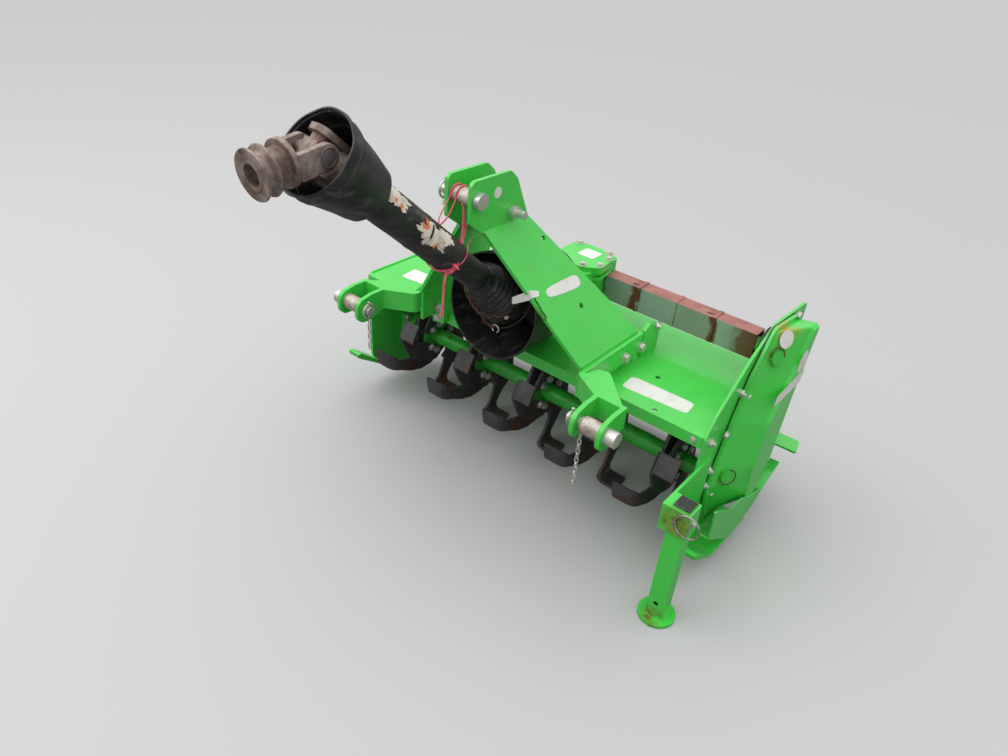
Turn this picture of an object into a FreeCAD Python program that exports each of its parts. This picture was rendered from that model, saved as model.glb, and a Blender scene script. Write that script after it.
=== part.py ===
import FreeCAD, Part
import math
import os

# Compact tiller for a small tractor's three-point hitch, millimetres, +Z up.
# All sizes below are set out from the lower hitch pins: X across, zero on the centre
# line and positive towards the gear case; Y back from the pins; Z up from the ground.
# The finished part is moved by ORIGIN so that its own origin lies under its middle.
V = FreeCAD.Vector
ORIGIN_X = 19.0
ORIGIN_Y = 92.0

# Housing
inner_half = 497.0
side_t = 6.0
deck_t = 4.0
deck_z = 390.0
deck_front = 178.0
deck_rear = 540.0
lip_h = 28.0
outer_half = inner_half + side_t
edge_gap = 6.0
knuckle_len, lug_len = 60.0, 30.0
knuckle_at = (-0.84, 0.0, 0.84)
lug_at = (-0.96, -0.24, 0.24, 0.96)
hinge_r, hinge_rod_r = 9.5, 6.0
hinge_y, hinge_z = deck_rear + 48.0, deck_z - 52.0

# Rotor
rotor_y, rotor_z = 348.0, 178.0
tine_r = 176.0
rotor_tube_r = 22.0
flange_r = 52.0
flange_t = 8.0
flange_count = 5
flange_in_plain, flange_in_drive = 92.0, 110.0
flange_step = (2 * inner_half - flange_in_plain - flange_in_drive) / (flange_count - 1)
flange_x = [-inner_half + flange_in_plain + flange_step * k for k in range(flange_count)]
face_turn = {1: 0.0, -1: 80.0}
tines_per_face = 3
tine_t = 8.0
blade_len = 62.0
blade_bend = 22.0
bolt_gap = 0.1
# The flat of a tine, its tip along +b: a forward of the tip, b out from the rotor's axis
tine_shape = [(-50, -34), (-68, -26), (-81, 4), (-88, 38), (-83, 75), (-66, 112), (-38, 150), (-25, 180), (25, 180),
              (20, 164), (-6, 144), (-22, 108), (-31, 64), (-32, -16)]

# Cross shaft from the gearbox to the gear case, and the gearbox
cross_y, cross_z = 462.0, 479.0
cross_tube_r = 17.3
guard_d, guard_h, guard_wall = 42.0, 62.0, 3.5
guard_seam, guard_count = 1.2, 4
box_x0, box_x1, box_y0, box_y1 = -58.0, 66.0, 352.0, 500.0
box_top, cover_t = 536.0, 11.0
flange_drop, flange_plate = 9.0, 7.0

# Gear case on the drive side: its flange lies on the gasket, its body narrows outwards
gasket_t, case_flange_t, case_depth = 3.0, 7.0, 62.0
case_inset = 9.0

# Hitch
pin_z = 428.0
pin_half = 340.0
lower_pin_r = 11.0
lower_bush_r = 18.2
bush_len = 52.0
ear_t = 10.0
bar_h = 50.0
bar_top = 461.0
rail_x = 245.0
rail_rear = 343.0
rail_bend_y = 104.0
web_y = 55.0
upper_y, upper_z = -13.0, 798.0
upper_pin_r = 9.5
upper_bush_r = 16.0
mast_gap = 51.0
mast_t = 8.0
mast_top = 836.0
mast_fold_z = 730.0
mast_foot_z = 468.0
spacer_y, spacer_z, spacer_r = 92.0, 751.0, 8.0
slope_holes = ((0.17, 0.42, 5.5), (0.66, 0.60, 6.5))
rail_lug_y0, rail_lug_y1, rail_lug_top = 352.0, 424.0, 474.0
linch_r, linch_wire = 17.0, 2.2
chain_wire, chain_pitch, chain_half = 1.2, 10.4, 4.0
drive_link_count, plain_link_count = 14, 8
chain_room = 9.6
fit = 0.05

# Driveline: the joint beside the gearbox, the tilt of the input shaft and of the
# driveline, and the distance between the two joints' centres
joint_y, joint_z = 148.0, 517.0
input_tilt = 6.9
drive_tilt = 40.5
yoke_tilt = -8.0
drive_len = 661.0
shaft_overlap = 159.0
inner_shaft_r, outer_shaft_r = 18.0, 21.0
shaft_gap = 0.3
cap_r = 12.5
bore_r = 17.4
ear_ring_r = 20.0
ear_in, ear_out = 26.0, 37.0
crotch = 48.0
yoke_hub_r = 27.0
bell_r, bell_back_r, bell_wall = 120.0, 105.0, 4.0
bell_front, bell_len = 56.0, 200.0
nose_front = bell_len - bell_front - 6.0

# Stand
stand_x, stand_y = outer_half + 37.0, 58.0
leg_w, leg_wall, leg_clear = 38.0, 3.0, 0.5
socket_wall = 4.0
socket_z0, socket_z1 = 251.0, 316.0
foot_r, foot_t = 41.0, 8.0
bracket_t = 6.0

# Skid on the drive side: wider than the other one, and this much lower
skid_wide, skid_drop = 60.0, 22.0

os.makedirs("parts", exist_ok=True)
nodes = []


def box(x0, x1, y0, y1, z0, z1):
    """A block between two corners."""
    return Part.makeBox(x1 - x0, y1 - y0, z1 - z0, V(x0, y0, z0))


def rod(r, p, q):
    """A round bar of radius r from p to q."""
    p, q = V(*p), V(*q)
    return Part.makeCylinder(r, (q - p).Length, p, q - p)


def outline(points):
    """A closed wire through (a, b, radius) corners, each rounded by its radius."""
    n = len(points)
    edges, starts, ends = [], [], []
    for i in range(n):
        p = V(points[i][0], points[i][1], 0)
        before = V(points[i - 1][0], points[i - 1][1], 0) - p
        after = V(points[(i + 1) % n][0], points[(i + 1) % n][1], 0) - p
        r = points[i][2] if len(points[i]) > 2 else 0.0
        if r > 0:
            half = before.getAngle(after) / 2
            cut = r / math.tan(half)
            a = p + before.normalize() * cut
            b = p + after.normalize() * cut
            middle = (before + after).normalize()
            m = p + middle * (r / math.sin(half) - r)
            edges.append((a, m, b))
        else:
            a = b = p
            edges.append(None)
        starts.append(a)
        ends.append(b)
    wire = []
    for i in range(n):
        if edges[i]:
            wire.append(Part.Arc(*edges[i]).toShape())
        nxt = starts[(i + 1) % n]
        if (nxt - ends[i]).Length > 1e-6:
            wire.append(Part.LineSegment(ends[i], nxt).toShape())
    return Part.Wire(wire)


def prism(points, axis, a0, a1):
    """The outline's points drawn across an axis and carried along it from a0 to a1."""
    solid = Part.Face(outline(points)).extrude(V(0, 0, a1 - a0))
    if axis == "x":
        m = FreeCAD.Matrix(0, 0, 1, a0, 1, 0, 0, 0, 0, 1, 0, 0, 0, 0, 0, 1)
    elif axis == "y":
        m = FreeCAD.Matrix(1, 0, 0, 0, 0, 0, 1, a0, 0, 1, 0, 0, 0, 0, 0, 1)
    else:
        m = FreeCAD.Matrix(1, 0, 0, 0, 0, 1, 0, 0, 0, 0, 1, a0, 0, 0, 0, 1)
    if axis == "y":
        solid = solid.transformGeometry(m)
        solid = Part.Solid(solid.Shells[0]) if solid.ShapeType == "Solid" else solid
        if solid.Volume < 0:
            solid.reverse()
        return solid
    out = solid.copy()
    out.transformShape(m)
    return out


def turned(profile):
    """A solid of revolution about local Z from (r, z) points."""
    pts = [V(r, 0, z) for r, z in profile]
    wire = Part.makePolygon(pts + [pts[0]])
    return Part.Face(wire).revolve(V(0, 0, 0), V(0, 0, 1), 360)


def aim(shape, tilt, y, z):
    """Local +Z turned to point forwards and up by tilt degrees, from a point on the centre line."""
    out = shape.copy()
    turn = FreeCAD.Placement(V(0, y, z), FreeCAD.Rotation(V(1, 0, 0), 90 - tilt))
    out.Placement = turn.multiply(out.Placement)
    return out


def mirror_x(shape):
    """The same piece on the other side of the centre line."""
    return shape.mirror(V(0, 0, 0), V(1, 0, 0))


def fuse(first, *rest):
    """One solid from pieces that touch."""
    return first.multiFuse(list(rest)).removeSplitter()


def add(name, shape):
    """Move a piece to the part's own frame and write it."""
    out = shape.copy()
    out.translate(V(-ORIGIN_X, -ORIGIN_Y, 0))
    out.exportStep("parts/" + name + ".step")
    nodes.append(name)
    print(name, len(out.Solids), round(out.Volume / 1000), out.isValid())


def group(shapes):
    """Separate solids in one node."""
    return Part.makeCompound(shapes)


# Deck: one bent sheet with a front lip and a rear fall
deck_profile = [
    (deck_front, deck_z - lip_h), (deck_front, deck_z), (deck_rear, deck_z), (deck_rear + 40, deck_z - 40),
    (deck_rear + 36, deck_z - 44), (deck_rear - 2, deck_z - deck_t),
    (deck_front + deck_t, deck_z - deck_t), (deck_front + deck_t, deck_z - lip_h)]
deck = prism(deck_profile, "x", -inner_half, inner_half)
for x, y in ((inner_half - 120, deck_front + 15), (inner_half - 180, deck_front + 132)):
    for place in (x, -x):
        deck = deck.cut(rod(6.0, (place, y, deck_z - 10), (place, y, deck_z + 1)))
add("deck", deck)

# Side plates, in Y and Z with corner radii
sole_z = rotor_z - 116
plain_side = [(deck_front + 8, deck_z + 3, 12), (deck_rear - 30, deck_z + 3, 30), (deck_rear + 30, deck_z - 90, 40),
              (deck_rear - 40, sole_z + 58, 40), (deck_rear - 100, sole_z, 20), (deck_front + 72, sole_z, 30),
              (deck_front + 8, sole_z + 68, 30)]
drive_side = [(deck_front + 2, deck_z - 5, 10), (deck_front + 40, deck_z + 40, 40), (cross_y - 128, cross_z + 37, 60),
              (cross_y - 37, cross_z + 81, 40), (cross_y + 150, cross_z + 67, 14), (cross_y + 138, cross_z - 59, 40),
              (deck_rear, sole_z + 168, 60), (deck_rear - 100, sole_z - skid_drop, 20),
              (deck_front + 72, sole_z - skid_drop, 30), (deck_front + 5, sole_z + 68, 30)]
add("side_plate_plain", prism(plain_side, "x", -outer_half, -inner_half))
bearing_hole = rod(34.0, (inner_half - 1, rotor_y, rotor_z), (outer_half + 1, rotor_y, rotor_z))
add("side_plate_drive", prism(drive_side, "x", inner_half, outer_half).cut(bearing_hole))

# Gear case: a cast flange on the gasket and a body lofted out to a smaller face. Each row is one
# corner: y and z from the rotor's or the cross shaft's axis, and its radius, on the flange and
# then on the outer face
case_corners = [
    ("cross", 86, 66, 20, 66, 71, 12), ("cross", -64, 85, 25, 28, 72, 12), ("cross", -132, -9, 60, 0, 10, 30),
    ("rotor", -54, 196, 60, 22, 176, 40), ("rotor", -100, 36, 50, 2, 62, 50), ("rotor", -74, -66, 45, 22, -50, 40),
    ("rotor", 72, -82, 60, 92, -56, 40), ("rotor", 132, 12, 60, 134, 34, 40), ("rotor", 172, 202, 80, 146, 190, 60)]
axes = {"rotor": (rotor_y, rotor_z), "cross": (cross_y, cross_z)}
case_flange = [(axes[a][0] + y, axes[a][1] + z, r) for a, y, z, r, y2, z2, r2 in case_corners]
case_face = [(axes[a][0] + y2, axes[a][1] + z2, r2) for a, y, z, r, y2, z2, r2 in case_corners]
case_in = outer_half + gasket_t
case_base = case_in + case_flange_t
case_out = outer_half + case_depth
chamfer = 8.0


def section(points, x, inset):
    """The outline in Y and Z at a given X, drawn in by an inset."""
    wire = outline(points)
    if inset:
        wire = wire.makeOffset2D(-inset) if Part.Face(wire).Area > 0 else wire
    wire.Placement = FreeCAD.Placement(V(x, 0, 0), FreeCAD.Rotation(V(1, 1, 1), 120)).multiply(wire.Placement)
    return wire


add("gear_case_gasket", prism(case_flange, "x", outer_half, case_in))
rim = prism(case_flange, "x", case_in, case_base + 0.5)
body = Part.makeLoft([section(case_flange, case_base, case_inset), section(case_face, case_out - chamfer, 0),
                      section(case_face, case_out, chamfer * 0.8)], True, True)


def slope_plug(a, b, c, u, v, r, h, sides):
    """A plug standing square on the sloping face through three corners, u and v of the way from a to b and c."""
    p, q, w = V(*a), V(*b), V(*c)
    seat = p + (q - p) * u + (w - p) * v
    out = (q - p).cross(w - p).normalize()
    if out.x < 0:
        out = out * -1
    if sides:
        ring = [V(r * math.cos(2 * math.pi * k / sides), r * math.sin(2 * math.pi * k / sides), 0) for k in range(sides)]
        plug = Part.Face(Part.makePolygon(ring + [ring[0]])).extrude(V(0, 0, h + 4))
    else:
        plug = Part.makeCylinder(r, h + 4)
    plug.Placement = FreeCAD.Placement(seat - out * 4, FreeCAD.Rotation(V(0, 0, 1), out))
    return plug


def corner(points, k, x):
    """One corner of an outline in Y and Z, at a given X."""
    return (x, points[k][0], points[k][1])


upper_seat = [corner(case_flange, 1, case_base), corner(case_face, 1, case_out - chamfer),
              corner(case_flange, 2, case_base)]
lower_seat = [corner(case_flange, 3, case_base), corner(case_face, 3, case_out - chamfer),
              corner(case_flange, 4, case_base)]
plugs = [slope_plug(*upper_seat, 0.42, 0.62, 17.0, 5.0, 6), slope_plug(*lower_seat, 0.45, 0.79, 16.0, 3.5, 0)]
add("gear_case", fuse(rim, body).cut(plugs[0]).cut(plugs[1]))
add("case_plugs", group(plugs))

# Guard under the gear case: a bent sole with an upright outer plate, and a tab behind the case
guard_t = 4.0
guard_x0, guard_x1 = case_out - 20.0, case_out + 0.3 + guard_t
sole_outer = [(rotor_y - 173, rotor_z - 22, 0), (rotor_y - 46, rotor_z - 109, 30), (rotor_y + 30, rotor_z - 115, 30),
              (rotor_y + 106, rotor_z - 96, 30), (rotor_y + 129, rotor_z - 76, 12), (rotor_y + 222, rotor_z - 46, 0)]
sole_inner = [(rotor_y + 221, rotor_z - 42, 0), (rotor_y + 127, rotor_z - 72, 12), (rotor_y + 104, rotor_z - 92, 26),
              (rotor_y + 29, rotor_z - 111, 26), (rotor_y - 45, rotor_z - 105, 26), (rotor_y - 171, rotor_z - 18, 0)]
sole = prism(sole_outer + sole_inner, "x", guard_x0, guard_x1)
shield = prism([(rotor_y - 182, rotor_z + 66, 4), (rotor_y - 70, rotor_z - 3, 20), (rotor_y - 13, rotor_z - 8, 14),
                (rotor_y + 48, rotor_z - 42, 8), (rotor_y + 120, rotor_z - 67, 8), (rotor_y + 129, rotor_z - 76, 4),
                (rotor_y + 106, rotor_z - 96, 30), (rotor_y + 30, rotor_z - 115, 30), (rotor_y - 46, rotor_z - 109, 30),
                (rotor_y - 173, rotor_z - 22, 6)], "x", case_out + 0.3, guard_x1)
add("case_guard", fuse(sole, shield))
tab_z = rotor_z + 8
add("rear_tab", prism([(outer_half, rotor_y + 142), (outer_half + 12, rotor_y + 142), (outer_half + 42, rotor_y + 208, 20),
                       (outer_half + 98, rotor_y + 209, 6), (outer_half + 87, rotor_y + 258, 6),
                       (outer_half, rotor_y + 258)], "z", tab_z, tab_z + 6))

# Skid shoes: a sole bent up at the front, on an upright flange; the drive side's is wider and lower
skid_t = 6.0
skid_sizes = [("plain", 40.0, sole_z), ("drive", skid_wide, sole_z - skid_drop)]
for side, wide, z in skid_sizes:
    path = [(deck_front - 40, z + 88), (deck_front - 28, z + 88), (deck_front + 74, z + 10, 20), (deck_rear - 110, z),
            (deck_rear - 110, z - skid_t), (deck_front + 71, z + 10 - skid_t, 20), (deck_front - 38, z + 76)]
    upright = prism([(deck_front + 62, z + 10), (deck_rear - 110, z - 2), (deck_rear - 110, z + 34),
                     (deck_front + 84, z + 34, 12)], "x", outer_half, outer_half + 5)
    skid = fuse(prism(path, "x", outer_half, outer_half + wide), upright)
    add("skid_" + side, mirror_x(skid) if side == "plain" else skid)

# Hitch bars: rail, arm out to the clevis, web, two ears and the flat gusset
ear_x0 = pin_half - bush_len / 2 - ear_t
ear_x1 = pin_half + bush_len / 2
ear_side = [(-26, 396, 22), (-26, 452, 24), (20, bar_top), (web_y + 1, bar_top), (web_y + 1, bar_top - bar_h),
            (20, bar_top - bar_h - 15, 20)]
arm = [(rail_x - 10, rail_rear), (rail_x, rail_rear), (rail_x, rail_bend_y + 4, 8),
       (ear_x0 + 14, web_y + ear_t), (ear_x0, web_y), (rail_x - 10, rail_bend_y - 8, 18)]
gusset = [(rail_x, 98), (rail_x + 14, 140, 12), (rail_x + 38, 146, 14), (ear_x1 - 2, web_y + ear_t),
          (ear_x0 + 10, web_y + ear_t)]
for side, s in (("plain", -1), ("drive", 1)):
    bar = prism(arm, "z", bar_top - bar_h, bar_top)
    web = box(ear_x0, ear_x1 + ear_t, web_y, web_y + ear_t, bar_top - bar_h, bar_top)
    ears = [prism(ear_side, "x", x, x + ear_t) for x in (ear_x0, ear_x1)]
    top = prism(gusset, "z", bar_top - 7, bar_top)
    hitch = fuse(bar, web, ears[0], ears[1], top)
    hitch = hitch.cut(rod(lower_pin_r + fit, (ear_x0 - 1, 0, pin_z), (ear_x1 + ear_t + 1, 0, pin_z)))
    pin = fuse(rod(lower_pin_r, (ear_x0 - 18, 0, pin_z), (ear_x1 + ear_t + 1, 0, pin_z)),
               rod(17.0, (ear_x1 + ear_t + 0.3, 0, pin_z), (ear_x1 + ear_t + 24, 0, pin_z)))
    linch_x = ear_x0 - 10
    pin = pin.cut(rod(linch_wire + 1.1, (linch_x, 0, pin_z - 20), (linch_x, 0, pin_z + 20)))
    bush = rod(lower_bush_r, (ear_x0 + ear_t + chain_room, 0, pin_z), (ear_x1 - 0.3, 0, pin_z))
    bush = bush.cut(rod(lower_pin_r + fit, (ear_x0, 0, pin_z), (ear_x1 + 1, 0, pin_z)))
    for name, shape in (("hitch_bar_", hitch), ("lower_pin_", pin), ("lower_bushing_", bush)):
        add(name + side, shape if s > 0 else mirror_x(shape))

# Lugs behind the rails, welded on the deck and bolted to the cross shaft's guard
lug_side = [(rail_lug_y0, deck_z), (rail_lug_y0, rail_lug_top - 14, 6), (rail_lug_y0 + 20, rail_lug_top, 14),
            (rail_lug_y1, rail_lug_top - 20, 16), (rail_lug_y1, deck_z)]
for side, s in (("plain", -1), ("drive", 1)):
    lug = prism(lug_side, "x", rail_x - 10, rail_x)
    add("hitch_rail_" + side, lug if s > 0 else mirror_x(lug))

# Mast plates: an upright top, a slope out to the rail and a foot flange beside it
mast_in = mast_gap / 2
mast_x = mast_in + mast_t
foot_x = rail_x - ear_t
upright = [(-32, mast_top, 14), (82, mast_top - 1, 12), (104, 816, 20), (146, mast_fold_z), (147, mast_fold_z - 5),
           (9, mast_fold_z - 5), (-32, mast_fold_z + 24, 8)]
slope_run = foot_x - mast_x
slope_fall = mast_fold_z - mast_foot_z
slope_len = math.hypot(slope_run, slope_fall)
nx, nz = slope_fall / slope_len * mast_t, slope_run / slope_len * mast_t
plate = prism(upright, "x", mast_in, mast_x)
quad = [V(mast_x, 10, mast_fold_z), V(mast_x, 146, mast_fold_z), V(foot_x, 333, mast_foot_z), V(foot_x, 105, mast_foot_z)]
slope_face = Part.Face(Part.makePolygon(quad + [quad[0]]))
slope = slope_face.extrude(V(-nx, 0, -nz))
foot = box(foot_x - mast_t, foot_x, 112, 333, deck_z, mast_foot_z + 1)
mast = fuse(plate, slope, foot)
mast = mast.cut(rod(upper_pin_r + fit, (0, upper_y, upper_z), (mast_x + 1, upper_y, upper_z)))
mast = mast.cut(rod(spacer_r + fit, (0, spacer_y, spacer_z), (mast_x + 1, spacer_y, spacer_z)))
for along, back, r in slope_holes:
    x, y = mast_x + slope_run * along, rail_bend_y + 139 * back
    z = mast_fold_z - slope_fall * along
    mast = mast.cut(rod(r, (x - 2 * nx, y, z - 2 * nz), (x + nx, y, z + nz)))
add("mast_plate_drive", mast)
add("mast_plate_plain", mirror_x(mast))
upper = fuse(rod(upper_pin_r, (-mast_x - 24, upper_y, upper_z), (mast_x + 1, upper_y, upper_z)),
             rod(upper_bush_r, (mast_x + 0.3, upper_y, upper_z), (mast_x + 14, upper_y, upper_z)))
upper = upper.cut(rod(linch_wire + 1.1, (-mast_x - 15, upper_y, upper_z - 20), (-mast_x - 15, upper_y, upper_z + 20)))
add("upper_pin", upper)
upper_bush = rod(upper_bush_r, (-mast_in + 0.3, upper_y, upper_z), (mast_in - 0.3, upper_y, upper_z))
add("upper_bushing", upper_bush.cut(rod(upper_pin_r + fit, (-mast_in, upper_y, upper_z), (mast_in, upper_y, upper_z))))
bolt = rod(spacer_r, (-mast_x - 14, spacer_y, spacer_z), (mast_x + 34, spacer_y, spacer_z))
sleeve = [rod(spacer_r + 5, (a, spacer_y, spacer_z), (b, spacer_y, spacer_z)) for a, b in (
    (-mast_in + 0.3, mast_in - 0.3), (mast_x + 0.3, mast_x + 14), (-mast_x - 14, -mast_x - 0.3))]
add("mast_bolt", fuse(bolt, *sleeve))

# Linch pins: a stub through each hitch pin, its sprung ring snapped over the pin's end
rings = []
for x, y, z in ((-linch_x, 0, pin_z), (linch_x, 0, pin_z), (-mast_x - 15, upper_y, upper_z)):
    ring = Part.makeTorus(linch_r, linch_wire, V(x, y, z), V(1, 0, 0))
    rings.append(fuse(ring, rod(linch_wire + 1.0, (x, y, z - linch_r), (x, y, z + linch_r + 6))))
add("linch_rings", group(rings))

# Chains that keep the linch pins: each link a quarter turn from the one before. On the drive side
# an eye round the hitch pin holds the chain, on the plain side it hangs from the linch ring
def link(turn):
    """One link about its own middle: an eight-sided ring in X and Z, or turned into Y and Z."""
    half_long, hole = chain_pitch / 2 + 2 * chain_wire, chain_half - 2 * chain_wire
    c = 1.6 * chain_wire
    rim = [(chain_half, half_long - c), (chain_half, c - half_long), (chain_half - c, -half_long),
           (c - chain_half, -half_long), (-chain_half, c - half_long), (-chain_half, half_long - c),
           (c - chain_half, half_long), (chain_half - c, half_long)]
    gap = [(hole, chain_pitch / 2), (hole, -chain_pitch / 2), (-hole, -chain_pitch / 2), (-hole, chain_pitch / 2)]
    out = prism(rim, "y", -chain_wire, chain_wire).cut(prism(gap, "y", -chain_wire - 1, chain_wire + 1))
    if turn:
        out.rotate(V(0, 0, 0), V(0, 0, 1), 90)
    return out


eye_x, eye_r = ear_x0 + ear_t + chain_room / 2, lower_pin_r + fit
eye = rod(eye_r + 3, (eye_x - 1.5, 0, pin_z), (eye_x + 1.5, 0, pin_z))
links = [eye.cut(rod(eye_r, (eye_x - 2, 0, pin_z), (eye_x + 2, 0, pin_z)))]
link_step = chain_pitch - 0.3
chain_table = [(eye_x, pin_z - eye_r - 3, drive_link_count), (-linch_x, pin_z - linch_r - linch_wire, plain_link_count)]
for x, top, count in chain_table:
    for k in range(count):
        piece = link(k % 2)
        piece.translate(V(x, 0, top - 0.3 - chain_pitch / 2 - 2 * chain_wire - link_step * k))
        links.append(piece)
add("tether_chains", group(links))

# Gearbox: a cast box with ribs under its bolted cover, and a round nose for the input shaft
cover_outline = [(box_x0 + 6, box_y0 + 12, 10), (box_x1 - 22, box_y0 + 12, 14), (box_x1 + 16, box_y0 + 40, 14),
                 (box_x1 + 8, box_y1 - 41, 14), (box_x1 - 42, box_y1 - 11, 12), (box_x0 + 6, box_y1 - 13, 10)]
housing = prism([(box_x0, box_y0, 14), (box_x1, box_y0, 14), (box_x1, box_y1, 14), (box_x0, box_y1, 14)], "z",
                deck_z, box_top)
ribs = [prism(cover_outline, "z", top - flange_plate, top) for top in (box_top, box_top - flange_plate - flange_drop)]
nose_back = -(box_y0 - joint_y) / math.cos(math.radians(input_tilt)) - 0.5
nose = turned([(0, nose_back), (44, nose_back), (44, -nose_front), (0, -nose_front)])
gearbox = fuse(housing, *ribs, aim(nose, input_tilt, joint_y, joint_z))
add("gearbox", gearbox)
add("gearbox_cover", prism(cover_outline, "z", box_top, box_top + cover_t))

# Cross shaft tube, its square guard in sections and the round end flange
tube_x0, tube_x1 = box_x1, inner_half - 20
guard_section = (tube_x1 - 11 - tube_x0 - 4) / guard_count
add("cross_tube", rod(cross_tube_r, (tube_x0, cross_y, cross_z), (tube_x1, cross_y, cross_z)))
sections = []
for k in range(guard_count):
    x0 = tube_x0 + 4 + k * guard_section
    outer = box(x0, x0 + guard_section - guard_seam, cross_y - guard_d / 2, cross_y + guard_d / 2,
                cross_z - guard_h / 2, cross_z + guard_h / 2)
    inner = box(x0 - 1, x0 + guard_section + 1, cross_y - guard_d / 2 + guard_wall, cross_y + guard_d / 2 - guard_wall,
                cross_z - guard_h / 2 + guard_wall, cross_z + guard_h / 2 - guard_wall)
    sections.append(outer.cut(inner))
add("cross_shaft_guard", group(sections))
add("cross_flange", fuse(rod(46.0, (tube_x1, cross_y, cross_z), (tube_x1 + 8, cross_y, cross_z)),
                         rod(30.0, (tube_x1 + 8, cross_y, cross_z), (inner_half, cross_y, cross_z))))

# Input shaft with its yoke, and the round shield about it
yoke_hub_end = 92.0


def yoke(hub_end, hub_r, bore_r):
    """A forked yoke in its local frame: ears across X at the joint, hub along +Z."""
    ear = fuse(rod(ear_ring_r, (ear_in, 0, 0), (ear_out, 0, 0)),
               box(ear_in, ear_out, -ear_ring_r, ear_ring_r, 0, crotch + 2))
    base = rod(ear_out, (0, 0, crotch), (0, 0, crotch + 9))
    hub = rod(hub_r, (0, 0, crotch + 8), (0, 0, hub_end))
    out = fuse(ear, mirror_x(ear), base, hub)
    out = out.cut(rod(cap_r + fit, (-ear_out - 1, 0, 0), (ear_out + 1, 0, 0)))
    if bore_r:
        out = out.cut(rod(bore_r, (0, 0, crotch - 1), (0, 0, hub_end + 1)))
    return out


def quarter(shape):
    """Turned a quarter about local Z, so that X becomes Y."""
    out = shape.copy()
    out.rotate(V(0, 0, 0), V(0, 0, 1), 90)
    return out


def flip(shape):
    """Turned end for end about local X."""
    out = shape.copy()
    out.rotate(V(0, 0, 0), V(1, 0, 0), 180)
    return out


input_yoke = fuse(yoke(yoke_hub_end, yoke_hub_r, 0), rod(17.5, (0, 0, yoke_hub_end - 1), (0, 0, nose_front - 0.3)))
add("input_yoke", aim(flip(input_yoke), input_tilt, joint_y, joint_z))
z0 = bell_front - bell_len
bell = turned([(bell_r - bell_wall, bell_front), (bell_r, bell_front), (bell_back_r, z0), (44.3, z0),
               (44.3, z0 + bell_wall), (bell_back_r - bell_wall, z0 + bell_wall)])
add("bell_shield", aim(bell, input_tilt, joint_y, joint_z))

# Driveline: crosses, forks on shafts that slide in each other, guard tubes and cones
cross_body = fuse(rod(cap_r, (-ear_out, 0, 0), (ear_out, 0, 0)), rod(cap_r, (0, -ear_out, 0), (0, ear_out, 0)),
                  box(-cap_r - 3, cap_r + 3, -cap_r - 3, cap_r + 3, -cap_r, cap_r))
end_y = joint_y - drive_len * math.cos(math.radians(drive_tilt))
end_z = joint_z + drive_len * math.sin(math.radians(drive_tilt))
add("rear_cross", aim(cross_body, drive_tilt, joint_y, joint_z))
half_len = (drive_len + shaft_overlap) / 2 - 10
rear_fork = fuse(quarter(yoke(70.0, yoke_hub_r, 0)), rod(inner_shaft_r, (0, 0, 69), (0, 0, half_len + 20)))
add("rear_shaft", aim(rear_fork, drive_tilt, joint_y, joint_z))
rear_guard = turned([(inner_shaft_r + shaft_gap, 74), (24.5, 74), (24.5, half_len), (21.5, half_len), (21.5, 84),
                     (inner_shaft_r + shaft_gap, 84)])
add("rear_guard_tube", aim(rear_guard, drive_tilt, joint_y, joint_z))
rear_cone = turned([(24.6, 150), (24.6, 138), (32, 128), (36, 118), (33, 112), (44, 96), (41, 90), (52, 70),
                    (49, 64), (60, 40), (60, 22), (63, 22), (63, 42), (52, 66), (55, 72), (44, 92),
                    (47, 98), (36, 114), (39, 120), (35, 132), (28, 150)])
add("rear_cone", aim(rear_cone, drive_tilt, joint_y, joint_z))
front_fork = fuse(quarter(yoke(72.0, yoke_hub_r, 0)), rod(outer_shaft_r, (0, 0, 71), (0, 0, half_len)))
front_fork = front_fork.cut(rod(inner_shaft_r + shaft_gap, (0, 0, 90), (0, 0, half_len + 1)))
add("front_shaft", aim(flip(front_fork), drive_tilt, end_y, end_z))
front_guard = turned([(outer_shaft_r + shaft_gap, -76), (29, -76), (29, -half_len - 5), (25.5, -half_len - 5), (25.5, -86),
                      (outer_shaft_r + shaft_gap, -86)])
add("front_guard_tube", aim(front_guard, drive_tilt, end_y, end_z))
front_cone = turned([(29.3, -140), (44, -140), (52, -128), (72, -2), (69, -2), (49.5, -126), (42.5, -137),
                     (29.3, -137)])
add("front_cone", aim(front_cone, drive_tilt, end_y, end_z))
add("front_cross", aim(cross_body, drive_tilt, end_y, end_z))
front_yoke = fuse(yoke(80.0, yoke_hub_r, bore_r), turned([(bore_r, 79), (24, 79), (24, 107), (bore_r, 107)]))
add("front_yoke", aim(front_yoke, yoke_tilt, end_y, end_z))
collar = turned([(24.2, 82), (38, 82), (39, 84), (38, 86), (30, 90), (30, 99), (38, 102), (39, 104), (38, 106.5),
                 (24.2, 106.5)])
add("yoke_collar", aim(collar, yoke_tilt, end_y, end_z))

# Stand: bracket plate and socket on the drive side, the sliding leg and its cap
x0, x1 = outer_half, outer_half + bracket_t
half = leg_w / 2 + leg_clear
socket_in = stand_x + half
plate = prism([(stand_y - half - socket_wall, socket_z0, 2), (stand_y - half - socket_wall, socket_z1, 2),
               (deck_front + 57, socket_z1, 10), (deck_front + 57, socket_z0 - 51, 20), (deck_front + 12, socket_z0 - 51, 20),
               (stand_y + 40, socket_z0, 20)], "x", x0, x1)
block = box(x1 - 0.01, stand_x + half + socket_wall, stand_y - half - socket_wall, stand_y + half + socket_wall,
            socket_z0, socket_z1)
hollow = box(stand_x - half, stand_x + half, stand_y - half, stand_y + half, socket_z0 - 1, socket_z1 + 1)
add("stand_bracket", fuse(plate, block).cut(hollow))
leg = box(stand_x - leg_w / 2, stand_x + leg_w / 2, stand_y - leg_w / 2, stand_y + leg_w / 2, foot_t, socket_z1 + 2)
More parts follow.
